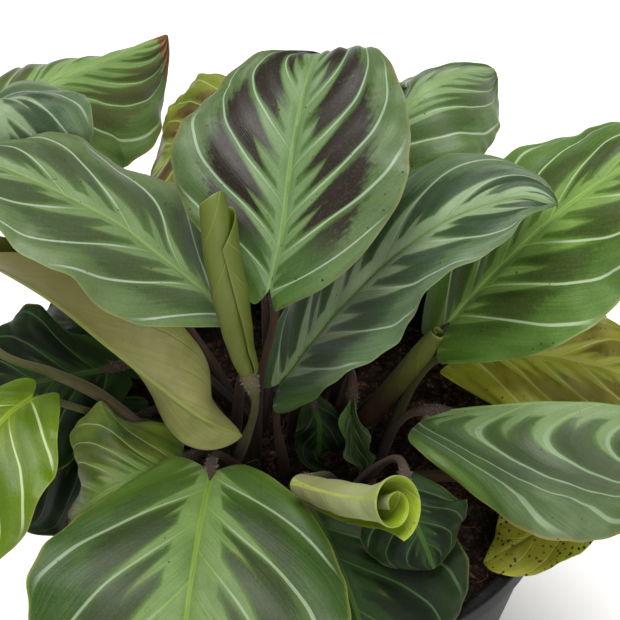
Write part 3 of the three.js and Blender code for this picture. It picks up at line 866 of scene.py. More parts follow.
# %% The pale feather, as a field that is above nought inside it
scaled = reach / given["Feather reach"]
middle = (given["Feather body"] - scaled) * 3.0
long_barb = part + 0.34 * (1.0 - (scaled / 0.47) ** 1.5) - 1.0
near_barb = 0.12 * (1.0 - scaled / 0.44) - part
vein_below = paint.math("FLOOR", number)
barb_chance = paint.number("ShaderNodeTexWhiteNoise", {"W": vein_below}, noise_dimensions="1D")
short_share = scaled / (0.19 + barb_chance * 0.12)
short_middle = 0.36 + barb_chance * 0.05
from_belly = part - short_middle + 0.18 * (1.0 - short_share ** 3.0)
from_back = short_middle - part + 0.1 * (1.0 - short_share ** 1.6)
short_barb = paint.math("MINIMUM", from_belly, from_back)
field = paint.math("MAXIMUM", middle, long_barb)
field = paint.math("MAXIMUM", field, paint.math("MAXIMUM", near_barb, short_barb))
field = field + wander * 0.5
feather = paint.soft(field, -0.045, 0.035) * given["Feather"]
near_feather = paint.soft(field, -0.22, -0.02)
blush = paint.soft(short_share, 0.72, 0.92) * paint.soft(short_barb, -0.03, 0.01)

# %% The dark blotches
inner_edge = paint.soft(field, -0.03, -0.11)
outer_edge = paint.soft(ragged + wander * 1.2 - given["Blotch reach"], 0.06, -0.08)
crisp_side = paint.soft(part, 0.02, 0.07)
soft_side = paint.soft(part + wander * 1.5, 0.95, 0.78)
foot_fade = paint.soft(along_leaf, 0.1, 0.24) * paint.soft(ragged, 0.1, 0.24)
leaks = paint.soft(paint.noise(where, 260.0, 4.0, 0.7), 0.24, 0.36)
blotch = inner_edge * outer_edge * (crisp_side * soft_side) * foot_fade * (leaks * given["Blotches"])

# %% Side veins and midrib
# A side vein's width is a share of the spacing, the midrib's width is in millimetres.
from_vein = paint.math("ABSOLUTE", paint.math("FRACT", number + 0.5) - 0.5)
vein_width = (0.03 + reach ** 4.0 * 0.035) * given["Vein width"]
vein = paint.soft(from_vein / vein_width, 1.25, 0.45)
vein = vein * paint.soft(reach, 0.985, 0.88) * paint.soft(number, 0.2, 0.9)
outer_vein = vein * paint.soft(reach, 0.05, 0.3) * given["Veins"]
inner_vein = vein * paint.soft(reach, 0.28, 0.06) * 0.6
midrib = paint.soft(across / (0.95 - along_leaf * 0.5), 1.15, 0.6)
midrib_core = paint.soft(across, 0.3, 0.1)

# %% Age: yellow clouds, a dry edge and tip, dark specks and a few light scratches
yellow = paint.soft(cloud + reach * 0.25, 0.4, 0.75) * given["Yellowing"]
dry_edge = paint.soft(reach + cloud * 0.12, 1.02, 1.075) * given["Brown edge"]
tip_line = along_leaf + (mottle + cloud) * 0.05 + reach ** 3.0 * 0.05
dry = paint.math("MAXIMUM", dry_edge, paint.soft(tip_line, 0.97, 0.985) * given["Brown tip"])
large_speck = paint.soft(paint.dots(where, 190.0), 0.085, 0.04)
fine_speck = paint.soft(paint.dots(where, 700.0), 0.34, 0.16) * paint.soft(given["Specks"], 1.2, 2.6)
speck_chance = paint.noise(where, 130.0, 2.0, 0.5) + given["Specks"] * 0.05
tiny_chance = paint.noise(where, 210.0, 2.0, 0.5) + given["Specks"] * 0.1
tiny_speck = paint.soft(paint.dots(where, 330.0), 0.13, 0.07) * paint.soft(tiny_chance, 0.6, 0.66)
speck = paint.math("MAXIMUM", large_speck, fine_speck * 0.8)
speck = speck * paint.soft(speck_chance, 0.47, 0.57) * given["Specks"]
speck = paint.math("MAXIMUM", speck, tiny_speck * 0.75)
speck_colour = paint.blend(paint.soft(cloud, 0.5, 0.62), tint(30, 22, 14), tint(112, 74, 48))
scratch_space = paint.vector(number * 40.0, reach * 7.0, along_leaf)
scratch = paint.soft(paint.noise(scratch_space, 1.0, 1.0, 0.4), 0.8, 0.86)

# %% The coats of colour on the upper side
deep_feather = paint.blend(0.35, given["Feather colour"], given["Ground colour"])
feather_shade = paint.blend(paint.soft(lines + cloud, 0.75, 1.25), given["Feather colour"], deep_feather)
foot_zone = paint.soft(number, 1.1, -0.4) * paint.soft(along_leaf, 0.42, 0.1)
colour = paint.layers(
    given["Ground colour"],
    (paint.soft(ragged + cloud * 0.2, 0.6, 0.98) * 0.85, given["Edge colour"]),
    (paint.soft(lines, 0.42, 0.72) * 0.22, given["Feather colour"]),
    (paint.soft(lines, 0.48, 0.25) * 0.22, given["Blotch colour"]),
    (foot_zone * 0.8, given["Foot colour"]),
    (near_feather * 0.35, given["Foot colour"]),
    (paint.soft(cloud, 0.5, 0.68) * 0.22, given["Foot colour"]),
    (blotch, given["Blotch colour"]),
    (feather, feather_shade),
    (blush * feather * 0.35, tint(120, 84, 72)),
    (paint.soft(grain, 0.45, 0.75) * 0.055, given["Vein colour"]),
    (paint.soft(grain, 0.5, 0.25) * 0.16, given["Blotch colour"]),
    (outer_vein, given["Vein colour"]),
    (inner_vein, given["Midrib colour"]),
    (midrib * 0.75, given["Midrib colour"]),
    (midrib_core * 0.3, given["Foot colour"]),
    (yellow, given["Yellow colour"]),
    (paint.soft(reach, 0.972, 0.995) * 0.35, given["Midrib colour"]),
    (dry, given["Brown colour"]),
    (speck, speck_colour),
    (scratch * (given["Wear"] * 0.6), given["Vein colour"]),
)

# %% The coats on the underside, which is paler and has hardly any blotches
under = paint.layers(
    given["Under colour"],
    (paint.soft(lines, 0.35, 0.75) * 0.25, given["Ground colour"]),
    (blotch * 0.22, given["Blotch colour"]),
    (paint.soft(cloud, 0.48, 0.62) * 0.2, given["Ground colour"]),
    (vein * 0.25, given["Midrib colour"]),
    (paint.soft(along_leaf + wander, 0.85, 0.25) * given["Foot shade"], given["Foot colour"]),
    (midrib * 0.7, given["Midrib colour"]),
    (speck * 0.6, tint(60, 44, 28)),
    (dry, given["Brown colour"]),
)
paint.feed(result["Colour"], paint.blend(paint.soft(upper, 0.4, 0.6), under, colour))
paint.feed(result["Roughness"], 0.34 + mottle * 0.14 + feather * 0.05 + given["Dull"] * 0.2 + dry * 0.2)
paint.feed(result["Height"], lines * 0.55 + mottle * 0.25 - vein * 0.5 + grain * 0.2)

# %% [markdown]
# ## One look for each kind of leaf
# No two leaves of the plant share a colour: some are fresh, some blue-green, some yellowing. The
# blue-green look is painted paler in part, as painted sheen, and the leaves that sit in shade get a
# darker look, which is painted shade. They still share every marking. So a look is a row of colours and
# strengths that is handed to the same node group.

# %% Colours and strengths of the looks
LEAF_LOOKS = {
    "spotted": dict(
        ground=(74, 106, 50), feather=(126, 156, 102), blotch=(38, 27, 14), vein=(178, 200, 172),
        midrib=(146, 178, 104), edge=(99, 121, 74), foot=(92, 128, 44), under=(150, 160, 100)),
    # This look is the leaves' own blue-green, painted paler in part as painted sheen.
    "bluish_sheen": dict(
        ground=(62, 92, 54), feather=(164, 188, 144), blotch=(40, 60, 38), vein=(178, 194, 170),
        midrib=(142, 174, 100), edge=(100, 124, 86), foot=(80, 116, 50), under=(120, 140, 100)),
    "greyish": dict(
        ground=(78, 106, 56), feather=(138, 164, 108), blotch=(68, 74, 52), vein=(194, 208, 188),
        midrib=(146, 178, 100), edge=(112, 132, 86), foot=(92, 126, 48), under=(140, 152, 100)),
    "plain": dict(
        ground=(92, 122, 62), feather=(148, 178, 122), blotch=(66, 84, 46), vein=(196, 210, 184),
        midrib=(156, 186, 112), edge=(100, 126, 72), foot=(96, 134, 48), under=(146, 156, 100)),
    "bright": dict(
        ground=(76, 108, 34), feather=(142, 178, 88), blotch=(58, 66, 28), vein=(208, 224, 186),
        midrib=(166, 204, 104), edge=(98, 132, 60), foot=(98, 138, 44), under=(150, 170, 96)),
    "fresh": dict(
        ground=(48, 80, 18), feather=(120, 150, 80), blotch=(40, 42, 20), vein=(160, 178, 148),
        midrib=(134, 166, 56), edge=(50, 78, 24), foot=(88, 120, 26), under=(146, 160, 92)),
    "olive": dict(
        ground=(108, 132, 34), feather=(148, 178, 62), blotch=(86, 66, 46), vein=(190, 200, 132),
        midrib=(170, 188, 84), edge=(124, 140, 56), foot=(132, 150, 50), under=(156, 156, 84)),
    "ageing": dict(
        ground=(150, 164, 28), feather=(196, 202, 84), blotch=(104, 82, 24), vein=(222, 220, 156),
        midrib=(198, 202, 90), edge=(156, 160, 40), foot=(158, 168, 44), under=(166, 160, 90)),
    "ribbed": dict(
        ground=(56, 90, 16), feather=(112, 142, 68), blotch=(26, 48, 12), vein=(158, 182, 134),
        midrib=(140, 168, 78), edge=(86, 120, 36), foot=(96, 126, 36), under=(150, 160, 92)),
    "lime": dict(
        ground=(88, 118, 4), feather=(126, 154, 26), blotch=(80, 110, 8), vein=(198, 214, 156),
        midrib=(160, 184, 58), edge=(100, 130, 8), foot=(112, 142, 14), under=(166, 176, 90)),
    # This look is painted shade: darker colours for the leaves that sit in shade, not their own green.
    "painted_shade": dict(
        ground=(15, 33, 8), feather=(42, 70, 26), blotch=(10, 21, 6), vein=(84, 108, 72),
        midrib=(76, 106, 42), edge=(27, 48, 14), foot=(42, 70, 18), under=(112, 128, 78)),
    "young": dict(
        ground=(84, 90, 18), feather=(108, 114, 34), blotch=(78, 58, 24), vein=(150, 156, 92),
        midrib=(160, 172, 84), edge=(104, 102, 40), foot=(112, 104, 38), under=(180, 182, 112)),
    "sprout": dict(
        ground=(116, 138, 30), feather=(140, 160, 58), blotch=(104, 124, 30), vein=(170, 186, 94),
        midrib=(160, 178, 76), edge=(120, 138, 36), foot=(106, 112, 48), under=(106, 120, 48)),
    "shoot": dict(
        ground=(124, 140, 36), feather=(140, 160, 58), blotch=(104, 124, 30), vein=(170, 186, 94),
        midrib=(150, 166, 76), edge=(120, 132, 40), foot=(56, 38, 24), under=(92, 98, 40)),
    "rear": dict(
        ground=(86, 120, 52), feather=(144, 176, 102), blotch=(84, 70, 44), vein=(186, 204, 164),
        midrib=(152, 186, 104), edge=(100, 124, 66), foot=(98, 134, 44), under=(140, 152, 96)),
    "scroll": dict(
        ground=(150, 178, 22), feather=(172, 196, 60), blotch=(136, 158, 30), vein=(196, 206, 116),
        midrib=(186, 200, 90), edge=(154, 172, 40), foot=(122, 112, 80), under=(178, 186, 132)),
    "yellow": dict(
        ground=(116, 124, 10), feather=(150, 158, 40), blotch=(120, 130, 30), vein=(196, 200, 110),
        midrib=(172, 178, 70), edge=(132, 136, 20), foot=(134, 144, 26), under=(160, 160, 70)),
}
LEAF_LOOKS["broad"] = {
    **LEAF_LOOKS["greyish"], "ground": (64, 90, 48), "edge": (94, 114, 72), "vein": (150, 172, 138),
}
LEAF_STRENGTHS = {
    "broad": {"Blotches": 0.5, "Feather body": 0.12, "Feather": 0.85, "Specks": 0.6, "Vein width": 1.8,
              "Brown edge": 0.9},
    "spotted": {"Blotches": 1.0, "Feather body": 0.085, "Blotch reach": 0.7, "Brown edge": 0.6,
                "Specks": 1.0},
    "bluish_sheen": {"Blotches": 0.6, "Feather reach": 1.2, "Feather body": 0.11, "Specks": 0.6},
    "greyish": {"Blotches": 0.55, "Feather body": 0.1, "Feather": 0.9, "Specks": 0.9},
    "plain": {"Blotches": 0.6, "Specks": 0.8},
    "bright": {"Blotches": 0.6, "Blotch reach": 0.58, "Feather": 0.9, "Specks": 0.8},
    "fresh": {"Blotches": 0.55, "Feather reach": 1.15, "Feather body": 0.15, "Specks": 0.7, "Dull": 0.4},
    "olive": {"Blotches": 1.0, "Feather": 0.8, "Yellowing": 0.25, "Brown edge": 1.0, "Specks": 0.9},
    "ageing": {"Blotches": 0.95, "Feather": 0.9, "Yellowing": 0.6, "Veins": 1.0, "Specks": 0.9,
               "Vein width": 1.4},
    "ribbed": {"Blotches": 0.5, "Feather": 0.9, "Feather reach": 1.1, "Yellowing": 0.15, "Veins": 0.9,
               "Brown tip": 0.6},
    "lime": {"Blotches": 0.15, "Feather": 0.5, "Veins": 1.0, "Vein width": 1.4, "Specks": 0.8},
    "painted_shade": {"Blotches": 0.6, "Feather": 0.8, "Veins": 0.75, "Dull": 0.5},
    "young": {"Blotches": 0.4, "Feather": 0.3, "Veins": 0.3, "Dull": 0.4, "Yellowing": 0.3,
              "Foot shade": 0.8},
    "sprout": {"Blotches": 0.1, "Feather": 0.3, "Veins": 0.35, "Dull": 0.4, "Foot shade": 0.5},
    "shoot": {"Blotches": 0.1, "Feather": 0.2, "Veins": 0.3, "Dull": 0.4, "Foot shade": 1.0},
    "rear": {"Blotches": 0.65, "Brown edge": 0.9, "Brown tip": 1.0, "Specks": 0.5},
    "scroll": {"Blotches": 0.1, "Feather": 0.2, "Veins": 0.3, "Dull": 0.5, "Foot shade": 0.6},
    "yellow": {"Blotches": 0.2, "Feather": 0.4, "Specks": 3.0, "Yellowing": 0.6, "Veins": 0.5},
}

# %% A material for each look
AGE_COLOURS = dict(yellow=(196, 190, 64), brown=(138, 98, 58))
LEAF_BUMP = 0.16
LEAF_SHINE = {
    "Specular IOR Level": 0.29, "Subsurface Weight": 0.08, "Subsurface Scale": 0.002,
    "Subsurface Radius": (0.4, 1.0, 0.2),
}
# Leaves with painted shade also get a weaker shine, so that the shade they stand for stays dark.
SHADED_SHINE = {**LEAF_SHINE, "Specular IOR Level": 0.12}
FRESH_DEPTH = 0.62


def leaf_tint(red, green, blue):
    """A picture shows a lit leaf, so its own colour is deeper."""
    return (*(FRESH_DEPTH * channel for channel in tint(red, green, blue)[:3]), 1.0)


def colour_inputs(colours, shade):
    return {f"{label.capitalize()} colour": shade(*colour) for label, colour in colours.items()}


leaf_materials = {}
for look, colours in LEAF_LOOKS.items():
    inputs = colour_inputs({**colours, **AGE_COLOURS}, leaf_tint)
    inputs.update(LEAF_STRENGTHS[look])
    shine = SHADED_SHINE if look == "painted_shade" else LEAF_SHINE
    leaf_materials[look] = finish_material("leaf_" + look, leaf_group, inputs, LEAF_BUMP, shine)
print("leaf looks:", len(leaf_materials))


# %% [markdown]
# ## Stalk colours
# The stalk's sheath is brown-purple and ribbed, the bare stalk greener, and the joint grey-brown and
# downy. The stalk carries its own values, so one node group can pass from one to the next along it.

# %% Stalk material
stalk_group, paint, given, result = paint_group(
    "stalk_skin", {}, ["Sheath colour", "Stalk colour", "Joint colour", "Rib colour"]
)
where = paint.place()
joint_here = paint.value("joint")
ribs = paint.noise(paint.vector(paint.value("wrap") * 26.0, paint.value("distance") * 0.05), 1.0, 3.0, 0.7)
mottle = paint.noise(where, 500.0, 4.0, 0.7)
cloud = paint.noise(where, 120.0, 3.0, 0.6)
colour = paint.layers(
    given["Sheath colour"],
    (paint.soft(paint.value("up_stalk"), 0.3, 0.62), given["Stalk colour"]),
    (paint.soft(ribs, 0.45, 0.7) * 0.45, given["Rib colour"]),
    (paint.soft(cloud, 0.5, 0.7) * 0.35, given["Sheath colour"]),
    (paint.soft(joint_here, 0.25, 0.8), given["Joint colour"]),
    (paint.soft(mottle, 0.58, 0.7) * 0.35, tint(40, 28, 20)),
)
paint.feed(result["Colour"], colour)
paint.feed(result["Roughness"], 0.48 + joint_here * 0.3)
paint.feed(result["Height"], ribs + mottle * 0.5)


def stalk_material(name, bump_height, **colours):
    shine = {"Specular IOR Level": 0.25, "Sheen Weight": 0.06, "Sheen Roughness": 0.6}
    return finish_material(name, stalk_group, colour_inputs(colours, tint), bump_height, shine)


# The brown stalks are their own red-brown, darkened further as painted shade for the shaded middle of the
# plant.
stalk_materials = {
    "brown": stalk_material(
        "stalk_brown_shaded", 0.2, sheath=(32, 21, 15), stalk=(54, 36, 22), joint=(58, 45, 36), rib=(64, 45, 30)
    ),
    "green": stalk_material(
        "stalk_green", 0.2, sheath=(58, 44, 26), stalk=(70, 72, 34), joint=(82, 74, 48), rib=(88, 82, 46)
    ),
}


# %% [markdown]
# ## The leaves of this plant
# Each row is one leaf: where its stalk leaves the soil, the points its midrib passes through, its
# greatest width, and how its two halves fold, curl and wave. What a row leaves out has its usual value:
# flat halves, a wave 2 high and foot lobes 6 long. Some young leaves are still rolled, so they have a
# number of turns instead. All sizes are in millimetres and all angles in degrees.

# %% Rows of leaves
LEAVES = {
    "leaf_upright": dict(
        look="spotted", foot=[-16, 4], width=64, roll=-5, twist=-14, fold=[10, 10], curl=[-15, -15],
        lobe=5, base=0.84, veins=0.75, vein_offsets=(0.27, 0.6), join=[1, -1, -9], via=[[-15, 3, 135]],
        spine=[[-11, 1, 177], [-8, 9, 188], [-5.5, 26, 200],
               [-2.5, 42, 207], [0.5, 55, 208], [3, 64, 203]]),
    "leaf_right_folded": dict(
        look="bluish_sheen", foot=[-8, -4], width=49, fold=[10, 5], curl=[-10, 0], phase=0.3, veins=0.7,
        sweep=0.7, join=[-1, -3, -8],
        spine=[[-9, 3, 137], [5, 8, 158], [20, 12, 176], [35, 14, 189], [52, 14, 197], [62, 11, 197]]),
    "leaf_left_large": dict(
        look="greyish", foot=[-22, 6], width=58, fold=[16, -6], curl=[-10, -20], phase=0.1, base=0.94,
        veins=0.66, sweep=0.85, join=[5, -1, -8], via=[[-20, 5, 135]],
        spine=[[-22, 3, 164], [-29, 5, 172], [-40, 9, 181], [-51, 14, 188],
               [-67, 19, 195], [-80, 23, 199], [-94, 28, 199]]),
    "leaf_rear_left_pointed": dict(
        look="rear", foot=[-20, 15], width=64, roll=30, twist=22, fold=[[5, -110], 0],
        curl=[[-110, -30], 0], phase=0.2, veins=0.7, sweep=2.0,
        spine=[[-89, 69, 172], [-84, 76, 175], [-76, 82, 178], [-68, 89, 178],
               [-60, 95, 177], [-52, 103, 175], [-44, 110, 174]]),
    "leaf_rear_left_arching": dict(
        look="bluish_sheen", foot=[-25, 12], width=54, fold=[0, 4], curl=[-20, -30], wave=0.5, lobe=0,
        base=0.4, veins=0.8,
        spine=[[-93, 57, 178], [-90, 56, 188], [-87, 51, 196],
               [-85, 45, 195], [-84, 38, 183], [-83, 34, 168]]),
    "leaf_rear_olive": dict(
        look="olive", foot=[-14, 14], width=44, fold=[0, 12], curl=[-20, -10], wave=1, veins=0.7,
        spine=[[-16, 69, 174], [-25, 70, 174], [-34, 70, 168], [-42, 70, 160], [-48, 71, 150]]),
    "leaf_rear_right": dict(
        look="plain", foot=[0, 16], width=48, roll=5, twist=35, fold=[-50, 0], curl=[-30, -10], wave=1,
        veins=0.65, sweep=1.9,
        spine=[[14, 52, 172], [20, 51, 186], [30, 56, 197], [40, 66, 195], [52, 80, 185]]),
    "leaf_right_large": dict(
        look="bright", foot=[16, 10], width=60, fold=[-8, -10], curl=[0, -10], veins=0.66,
        spine=[[35, 8, 153], [48, 13, 170], [65, 19, 188], [80, 23, 199], [94, 28, 202]]),
    "leaf_right_yellowing": dict(
        look="ageing", foot=[21, 5], width=38, roll=25, veins=0.75, quilt=1.2,
        spine=[[41, 9, 141], [50, 6, 146], [59, 4, 148], [72, 2, 147], [84, 3, 141], [96, 4, 131]]),
    "leaf_right_drooping": dict(
        look="broad", foot=[19, -2], width=72, roll=4, fold=[-75, -22], curl=[0, -15], lobe=9,
        veins=0.72, bow=0.34,
        spine=[[34, -12, 144], [59, -20, 157], [79, -24, 160], [97, -28, 157], [110, -31, 147]]),
    "leaf_front_large": dict(
        look="fresh", foot=[-14, -12], width=81, roll=-3, fold=[8, 5], curl=[-20, -20], lobe=4,
        veins=0.68,
        spine=[[-27, -24, 132], [-29, -47, 138], [-31, -71, 137], [-34, -93, 122], [-37, -107, 97]]),
    "leaf_left_ribbed": dict(
        look="ribbed", foot=[-22, -9], width=48, roll=-25, fold=[-20, -8], base=0.55, veins=0.85,
        quilt=0.5,
        spine=[[-36, -18, 129], [-45, -26, 133], [-54, -30, 132], [-61, -31, 126], [-66, -29, 120]]),
    "leaf_left_lime": dict(
        look="lime", foot=[-28, 1], width=42, veins=0.6, join=[3, 5, -7],
        via=[[-43, -2, 124], [-58, -4, 132]],
        spine=[[-74, -13, 150], [-80, -23, 153], [-86, -35, 150], [-91, -47, 141], [-94, -54, 126]]),
    "leaf_left_low": dict(
        look="painted_shade", foot=[-36, 4], width=50, roll=8, veins=0.65,
        spine=[[-50, 5, 119], [-62, -2, 119], [-74, -10, 115], [-84, -16, 101]]),
    "leaf_left_shaded": dict(
        look="painted_shade", foot=[-29, 8], width=50, roll=-10, fold=[-25, 0], veins=0.65,
        spine=[[-57, 11, 134], [-67, 6, 137], [-78, 3, 137], [-90, 2, 131], [-100, 2, 122]]),
    "leaf_unrolling": dict(
        look="young", foot=[-28, -6], width=36, roll=-20, twist=-130, fold=[20, 20], curl=[60, 60],
        wave=0, lobe=3, veins=0.6, quilt=0.05,
        via=[[-42, -7, 124], [-58, -4, 141], [-69, -6, 152], [-82, -8, 163], [-91, 2, 173]],
        spine=[[-90, 14, 178], [-69, 4, 171], [-53, -6, 163],
               [-40, -13, 155], [-29, -16, 145], [-19, -13, 134]]),
    "leaf_rolled_upright": dict(
        look="sprout", foot=[-22, -4], width=34, turns=1.25, taper=[0.5, 1.0, 0.8], veins=0.6,
        step=0.26, slant=0.08,
        spine=[[-17, -11, 158], [-19, -9, 166], [-21, -6, 180],
               [-23, -1, 191], [-24, 4, 200], [-25, 10, 205]]),
    "leaf_rolled_front": dict(
        look="scroll", foot=[6, -9], width=62, turns=1.8, taper=[0.4, 0.66, 1.0], pitch=4, veins=0.6,
        join=[3, 7, -6],
        spine=[[-4, -35, 141], [3, -42, 146], [12, -50, 153], [20, -57, 162]]),
    "leaf_rolled_shoot": dict(
        look="shoot", foot=[12, 3], width=20, turns=1.2, taper=[0.9, 1.0, 0.6], veins=0.6,
        spine=[[15, 3, 122], [24, 1, 142], [33, 0, 162]]),
    "leaf_front_right": dict(
        look="painted_shade", foot=[2, -17], width=64, lobe=3, veins=0.65,
        spine=[[-1, -30, 126], [4, -43, 128], [9, -57, 127], [14, -70, 119], [18, -78, 102]]),
    "leaf_small_round": dict(
        look="painted_shade", foot=[11, -13], width=30, fold=[0, -30], wave=1, lobe=4, veins=0.55,
        spine=[[24, -36, 142], [25, -44, 142], [28, -50, 138], [31, -54, 131]]),
    "leaf_small_yellow": dict(
        look="yellow", foot=[24, -8], width=24, wave=1, lobe=4, veins=0.5, quilt=0.3,
        spine=[[77, -28, 124], [66, -33, 124], [54, -38, 119], [46, -39, 112]]),
    "leaf_small_folded": dict(
        look="plain", foot=[6, 8], width=18, fold=[65, 65], wave=1, lobe=2, veins=0.5, quilt=0.25,
        spine=[[11, 4, 127], [11, 0, 121], [12, -4, 114], [14, -7, 109]]),
    "leaf_inner_hanging": dict(
        look="painted_shade", foot=[-6, 9], width=15, wave=1, lobe=3, veins=0.5, quilt=0.25,
        spine=[[0, 6, 125], [2, 1, 121], [2, -2, 113], [3, -2, 107]]),
    "leaf_back_left": dict(
        look="greyish", foot=[-23, 20], width=48, fold=[8, 8], curl=[-10, -10], phase=0.3,
        spine=[[-46, 50, 128], [-58, 64, 134], [-70, 78, 130], [-78, 90, 118]]),
    "leaf_back_centre": dict(
        look="spotted", foot=[-12, 22], width=54, fold=[8, 8], curl=[-10, -10], phase=0.6,
        spine=[[-14, 55, 150], [-13, 75, 158], [-12, 98, 152], [-10, 118, 134]]),
    "leaf_back_right": dict(
        look="plain", foot=[6, 22], width=50, fold=[8, 8], curl=[-10, -10], phase=0.1,
        spine=[[22, 45, 142], [33, 58, 148], [46, 74, 142], [56, 90, 122]]),
    "leaf_back_right_low": dict(
        look="fresh", foot=[14, 17], width=48, fold=[8, 8], curl=[-10, -10], phase=0.4,
        spine=[[42, 26, 132], [56, 38, 138], [70, 48, 132], [82, 56, 114]]),
    "leaf_back_left_low": dict(
        look="painted_shade", foot=[-31, 13], width=42, fold=[8, 8], curl=[-10, -10], phase=0.9,
        spine=[[-52, 26, 122], [-66, 34, 126], [-78, 42, 119], [-88, 48, 105]]),
    "leaf_back_centre_low": dict(
        look="painted_shade", foot=[-2, 24], width=46, fold=[8, 8], curl=[-10, -10], phase=0.2,
        spine=[[2, 48, 128], [6, 64, 134], [12, 82, 126], [16, 94, 106]]),
}

# %% Make every leaf
GREEN_STALKS = ("lime", "sprout", "scroll", "yellow", "ageing", "young")
leaf_pieces = {}
for seed, (name, leaf) in enumerate(LEAVES.items()):
    leaf["seed"] = seed
    stalk = stalk_materials["green" if leaf["look"] in GREEN_STALKS else "brown"]
    piece = make_leaf(name + "_fine", leaf, leaf_materials[leaf["look"]], stalk)
    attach(piece, "root")
    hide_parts(name)
    leaf_pieces[name] = piece
print("leaf triangles:", sum(triangle_count(piece) for piece in leaf_pieces.values()))


# %% [markdown]
# ## Down on the joints
# Up close each joint is grey with short hairs. Modelling a hair is easy, placing two thousand is not, so
# Geometry Nodes scatter a thin cone over every joint, more where the joint value is high.

# %% A thin cone that leans over
def spike(name, radius, length, sides=3):
    rings = 3
    points = []
    for ring in range(rings):
        share = ring / rings
        lean = 0.25 * length * share ** 2
        points += [(x + lean, y, length * share) for x, y in circle(radius * (1 - share), sides)]
    points.append((0.25 * length, 0, length))
    top = (rings - 1) * sides
    faces = tube_faces(rings, sides)
    faces += [(top + side, top + (side + 1) % sides, rings * sides) for side in range(sides)]
    faces.append(tuple(range(sides))[::-1])
    return mesh_object(name, points, faces, [], 60)


# %% A scatter tree that any small mesh can use
BARE_BELOW = 0.35


def scatter_tree(name, small, material, weight=""):
    tree = bpy.data.node_groups.new(name, "GeometryNodeTree")
    face = tree.interface
    face.new_socket("Geometry", in_out="INPUT", socket_type="NodeSocketGeometry")
    for label in ("Density", "Smallest", "Largest", "Tilt"):
        face.new_socket(label, in_out="INPUT", socket_type="NodeSocketFloat")
    face.new_socket("Seed", in_out="INPUT", socket_type="NodeSocketInt")
    face.new_socket("Geometry", in_out="OUTPUT", socket_type="NodeSocketGeometry")
    paint = Paint(tree)
    given = paint.node("NodeGroupInput").outputs
    density = given["Density"]
    if weight:
        share = paint.number("GeometryNodeInputNamedAttribute", {"Name": weight}, output="Attribute")
        density = paint.math("MAXIMUM", share - BARE_BELOW, 0.0) * 1.5 * density
    points = paint.node("GeometryNodeDistributePointsOnFaces", {
        "Mesh": given["Geometry"], "Density": density, "Seed": given["Seed"],
    })
    turn_limits = {0: (-1.0, -1.0, -3.14), 1: (1.0, 1.0, 3.14), "Seed": 7}
    turn = paint.node("FunctionNodeRandomValue", turn_limits, data_type="FLOAT_VECTOR")
    lean = paint.node(
        "ShaderNodeVectorMath", {0: turn.outputs[0], "Scale": given["Tilt"]}, operation="SCALE"
    )
    size = paint.node("FunctionNodeRandomValue", {2: given["Smallest"], 3: given["Largest"], "Seed": 11})
    shapes = paint.node("GeometryNodeCollectionInfo", {
        "Collection": small, "Separate Children": True, "Reset Children": True,
    })
    both_turns = {0: points.outputs["Rotation"], 1: lean.outputs[0]}
    turned_by = paint.node("FunctionNodeRotateRotation", both_turns, rotation_space="LOCAL")
    placed = paint.node("GeometryNodeInstanceOnPoints", {
        "Points": points.outputs["Points"], "Instance": shapes.outputs[0], "Pick Instance": True,
        "Rotation": turned_by.outputs[0], "Scale": size.outputs[1],
    })
    solid = paint.node("GeometryNodeRealizeInstances", {"Geometry": placed.outputs[0]})
    finished = paint.node("GeometryNodeSetMaterial", {"Geometry": solid.outputs[0], "Material": material})
    paint.node("NodeGroupOutput", {0: finished.outputs[0]})
    return tree


def scatter(name, ground, variants, material, weight="", **amounts):
    """Scatters the variants over a copy of the ground mesh and returns the plain mesh object."""
    holder = bpy.data.collections.new(name + "_shapes")
    for variant in variants:
        holder.objects.link(variant)
    tree = scatter_tree(name + "_tree", holder, material, weight)
    carrier = place_object(name + "_carrier", ground.data.copy())
    modifier = carrier.modifiers.new("scatter", "NODES")
    modifier.node_group = tree
    for item in tree.interface.items_tree:
        if item.item_type == "SOCKET" and item.in_out == "INPUT" and item.name in amounts:
            modifier[item.identifier] = amounts[item.name]
    bpy.context.view_layer.update()
    piece = place_object(name, baked_mesh(carrier, name))
    for variant in variants:
        bpy.data.objects.remove(variant)
    bpy.data.collections.remove(holder)
    print(name, "triangles:", triangle_count(piece))
    return piece


# %% Down on the joints of all stalks
DOWNY_ABOVE = 0.2
HAIR_RADIUS = 0.035
HAIR_LENGTH = 0.9


def joined_copy(pieces, name):
    points, faces, joints = [], [], []
    shift = 0
    for piece in pieces:
        mesh = piece.data
        coords = np.zeros(len(mesh.vertices) * 3, np.float32)
        mesh.vertices.foreach_get("co", coords)
        values = np.zeros(len(mesh.vertices), np.float32)
        mesh.attributes["joint"].data.foreach_get("value", values)
        for face in mesh.polygons:
            if face.material_index == 1 and values[face.vertices[0]] > DOWNY_ABOVE:
                faces.append(tuple(i + shift for i in face.vertices))
        points.append(coords.reshape(-1, 3) / MM)
        joints.append(values)
        shift += len(mesh.vertices)
    whole = mesh_object(name, np.vstack(points), faces, [], 60)
    add_values(whole, "joint", np.concatenate(joints))
    return whole


down_material = stalk_material(
    "joint_down", 0.05, sheath=(150, 138, 120), stalk=(164, 152, 134), joint=(170, 158, 142),
    rib=(182, 170, 150),
)
joints_only = joined_copy(leaf_pieces.values(), "joints_only")
down = scatter(
    "joint_down_hairs", joints_only, [spike("down_hair", HAIR_RADIUS, HAIR_LENGTH)], down_material, "joint",
    Density=1.6e6, Smallest=0.5, Largest=1.2, Tilt=0.5, Seed=4,
)
bpy.data.objects.remove(joints_only)
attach(down, "root")


# %% [markdown]
# ## Crumbs, bark and fibres
# Loose soil is the part that the eye reads as real. Each crumb is a small ball of few faces with dents
# in it; six different ones, turned and sized at random, are enough. Bark chips are flat and fibres are
# curled, so each has its own small shapes and goes through the same scatter tree.

